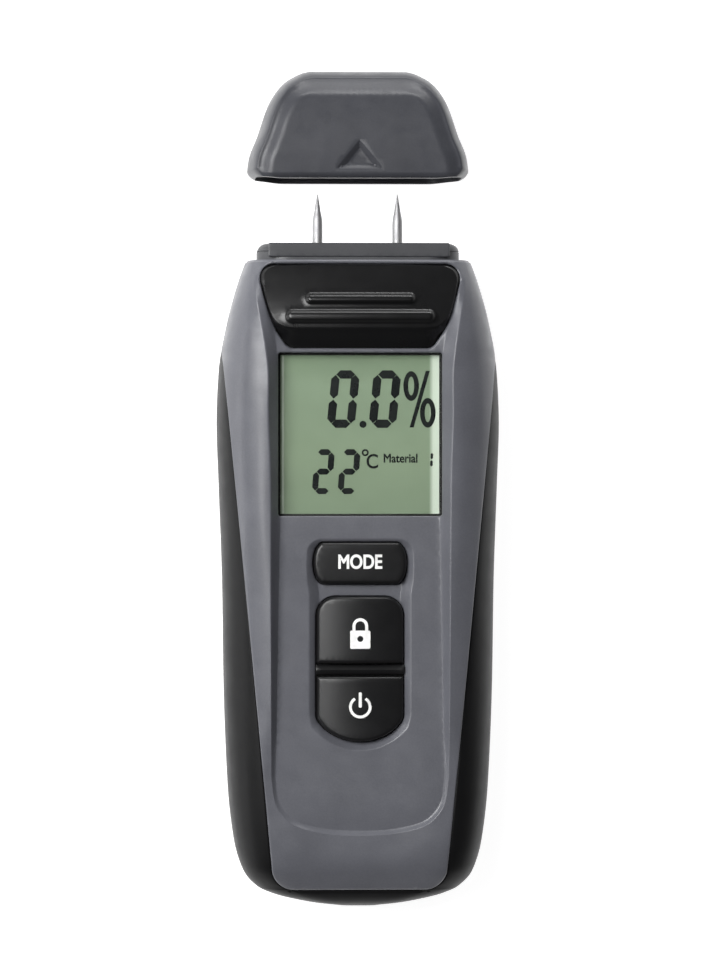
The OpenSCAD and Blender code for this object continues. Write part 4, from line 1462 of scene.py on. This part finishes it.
def cap_front(skin, inner, front_line, mouth_y):
    """Freely meshed front inside the flank, with lines along the bevel, the end and the arrow."""
    edge = np.concatenate([inner, front_line])
    lines = [cap_inner_line(d) for d in (1.95, 2.1, 2.3, 2.5, 2.75, 3.0, 3.3, 3.6, 3.9, 4.2, 4.5, 4.9, 5.2)]
    for s in (0.08, 0.2, 0.4, 0.65, 0.9, CAP_EDGE, 16.2, 16.9, 18, 19.1, 19.8):
        lines.append(np.array([(x, s) for x in np.linspace(-19, 19, 60)]))
    for d in (0, 0.1, 0.45, 0.8, ARROW_SLOPE - 0.1, ARROW_SLOPE):
        lines.append(resample(grown(ARROW, -d), 0.3))
    lines = [k[inside(k, edge) & (distance(k, edge) > 0.12)] for k in lines]
    skin.plan([edge], lines, 0.9, cap_height, lambda x, y, h: (x, y + mouth_y, h))


def cap_back_rows():
    """Rows of points round the cap's back, from the mouth to the top."""
    rows = []
    for s in cap_stations():
        w, z0 = cap_half(s), float(smooth(CAP_BACK, s) + rounding(s, 0.3))
        flat = max(w - CAP_BACK_CORNER, 1)
        side = [(flat + (w - flat) * math.cos(a), s, PIN_Z - (PIN_Z - z0) * math.sin(a))
                for a in np.radians(np.linspace(0, 90, 13))]
        across = [(x, s, z0) for x in np.linspace(flat, -flat, 21)[1:-1]]
        rows.append(side + across + flipped(side)[::-1])
    rows[0] = [(x, mouth_lift(x), z) for x, _, z in rows[0]]
    return rows


def cap():
    """Pin cap: one hollow shell with a raised pad and a sunk arrow."""
    mouth_y = box_mm("pin_cap")[0][1]
    line = cap_line()
    outward = cap_normals(line)
    skin = Skin()
    rings = [cap_turned(line, outward, t) for t in CAP_TURNS]
    skin.grid([shifted(r, mouth_y) for r in rings])
    inner = np.array([(x, y) for x, y, _ in rings[-1]])
    mouth_x = np.linspace(inner[-1][0], inner[0][0], 40)[1:-1]
    front_line = [(x, mouth_lift(x)) for x in mouth_x]
    cap_front(skin, inner, front_line, mouth_y)
    back_rows = cap_back_rows()
    top = [(x, CAP_LONG, PIN_Z) for x, _, _ in back_rows[-1]]
    skin.grid([shifted(r, mouth_y) for r in [*back_rows, top]])
    cap_mouth(skin, rings, front_line, back_rows[0], mouth_y)
    piece = make("cap_shell", skin, MATERIALS["cap_grey"], "pin_cap", sharp=28)
    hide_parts("pin_cap")


def cavity_loop():
    """Section of the cap's cavity: the neck's, with squarer front corners round its raised plate."""
    gap = 0.35
    half = NECK_HALF + gap
    low = neck_loop(gap)
    high = resample(rounded_box(-half, half, NECK_LOW - gap, NECK_HIGH + gap, 2.4, 8), 0.9)
    both = np.concatenate([high[high[:, 1] > PIN_Z], low[low[:, 1] <= PIN_Z]])
    return both[np.argsort(np.arctan2(both[:, 1] - PIN_Z, both[:, 0]))]


def cap_mouth(skin, rings, front_line, back_row_0, mouth_y):
    """Closes the mouth's ring-shaped end and lines the cavity."""
    right = [(r[0][0], r[0][2]) for r in rings]
    top = [(x, z) for (x, _), z in zip(front_line[::-1], cap_height(np.array(front_line[::-1])))]
    left = [(r[-1][0], r[-1][2]) for r in rings][::-1]
    under = [(x, z) for x, _, z in back_row_0[1:-1]][::-1]
    outer = np.array(right + top + left + under)
    inner = cavity_loop()
    skin.plan([outer, inner], [], 1.2, lambda p: mouth_lift(p[:, 0]), lambda x, z, h: (x, mouth_y + h, z))
    cavity = [[(x, mouth_y + mouth_lift(x), z) for x, z in inner]]
    for s, share_x, share_z in CAP_CAVITY:
        cavity.append([(x * share_x, mouth_y + s, PIN_Z + (z - PIN_Z) * share_z) for x, z in inner])
    skin.grid(cavity, closed=True)


# ---------------------------------------------------------------- CAD nodes that stay

KEPT = {
    "electrode_sockets": "contact_brass", "electrode_contacts": "contact_brass",
    "window_gasket": "gasket_black", "lcd_panel": "lcd_green", "lcd_frame": "frame_white",
    "zebra_strips": "zebra_rubber", "main_board": "board_green", "control_chip": "chip_black",
    "board_components": "component_tan",
    "temperature_sensor": "sensor_amber", "keypad_mat": "mat_silicone", "battery": "battery_wrap",
    "battery_terminals": "plated_steel", "battery_snap": "snap_black", "battery_lead_red": "lead_red",
    "battery_lead_black": "lead_black", "board_screws": "plated_steel", "case_screws": "plated_steel",
    "battery_door": "shell_black", "door_foam": "foam_grey",
}
ROUNDED = {
    "battery_door": 0.25, "battery": 0.2, "battery_snap": 0.3, "lcd_frame": 0.15, "door_foam": 0.3,
    "case_screws": 0.08, "board_screws": 0.08,
}


def dress_kept_nodes():
    """Gives each CAD node that stays its own finish, and softens some of their edges."""
    for node, material in KEPT.items():
        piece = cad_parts[node]
        piece.data.materials.clear()
        piece.data.materials.append(MATERIALS[material])
        if node in ROUNDED:
            bevel = piece.modifiers.new("soft_edges", "BEVEL")
            bevel.width = ROUNDED[node] * MM
            bevel.segments = 3
            bevel.limit_method = "ANGLE"
            bevel.angle_limit = math.radians(45)


# ---------------------------------------------------------------- stage


def lamp(name, place, aim, size, power):
    """Soft box light that looks from its place at its aim, in metres."""
    light = bpy.data.lights.new(name, "AREA")
    light.shape = "RECTANGLE"
    light.size, light.size_y = size
    light.energy = power
    piece = bpy.data.objects.new(name, light)
    piece.location = place
    piece.rotation_euler = (Vector(aim) - Vector(place)).to_track_quat("-Z", "Y").to_euler()
    bpy.context.scene.collection.objects.link(piece)


def stage_floor():
    """White floor on which the meter lies."""
    mesh = bpy.data.meshes.new("floor")
    reach = 1.2
    corners = [(-reach, -reach, 0), (reach, -reach, 0), (reach, reach, 0), (-reach, reach, 0)]
    mesh.from_pydata(corners, [], [(0, 1, 2, 3)])
    floor = bpy.data.objects.new("floor", mesh)
    bpy.context.scene.collection.objects.link(floor)
    s = Surface("floor_white")
    base = s.ramp(s.noise(40, 3), [(0.3, (0.45, 0.45, 0.45)), (0.7, (0.47, 0.47, 0.47))])
    s.set(Base_Color=base, Roughness=0.9, Emission_Color=(1, 1, 1, 1), Emission_Strength=0.92)
    mesh.materials.append(s.material)
    floor.location.z = -0.05 * MM


def stage_lights():
    """Lights at the upper left, low at the left and low behind, in a dim room."""
    lamp("key_light", (-0.44, 0.26, 0.78), (0, 0.03, 0), (0.45, 0.6), 11.0)
    lamp("left_light", (-1.0, -0.1, 0.19), (0, 0.02, 0.02), (0.9, 0.16), 2.5)
    lamp("back_light", (0.15, 1.0, 0.2), (0, 0.06, 0.01), (0.7, 0.2), 5)
    bpy.context.scene.view_settings.view_transform = "Standard"


def stage_room():
    """Room that is darker above than below, and darker at the lower right."""
    world = bpy.data.worlds.new("studio")
    world.use_nodes = True
    room = Tree(world.node_tree)
    place = room.node("ShaderNodeTexCoord").outputs["Generated"]
    split = room.node("ShaderNodeSeparateXYZ")
    room.link(place, split.inputs["Vector"])
    level = room.ramp(split.outputs["Z"], [(0.0, 0.6), (0.25, 0.5), (0.5, 0.16), (1.0, 0.1)])
    toward = room.node("ShaderNodeVectorMath", {1: (-0.6, 0.8, 0)}, operation="DOT_PRODUCT")
    room.link(place, toward.inputs[0])
    fade = room.span(toward.outputs["Value"], -1, 1, 0.3, 0.9)
    room.link(room.mix(1.0, level, fade, "MULTIPLY"), room.tree.nodes["Background"].inputs["Color"])
    bpy.context.scene.world = world


def camera():
    """Looks down from far above and a little from the left, as a product photograph does."""
    lens, sensor, seen_long = 200.0, 36.0, 0.1954
    far = seen_long * lens / sensor
    aim = Vector((-0.0012, 0.0189, SEAM_Z * MM))
    lean = math.radians(2.2)
    data = bpy.data.cameras.new("camera")
    data.lens = lens
    data.sensor_width = sensor
    data.clip_end = 20
    eye = bpy.data.objects.new("camera", data)
    eye.location = aim + far * Vector((-math.sin(lean), 0, math.cos(lean)))
    eye.rotation_euler = (0, -lean, 0)
    bpy.context.scene.collection.objects.link(eye)
    bpy.context.scene.camera = eye


grey_shell()
black_shell()
brow()
mode_key()
hold_key()
power_key()
divider()
window()
readout()
housing()
neck_plate()
electrode("electrode_left", -1)
electrode("electrode_right", 1)
cap()
dress_kept_nodes()
stage_floor()
stage_lights()
stage_room()
camera()
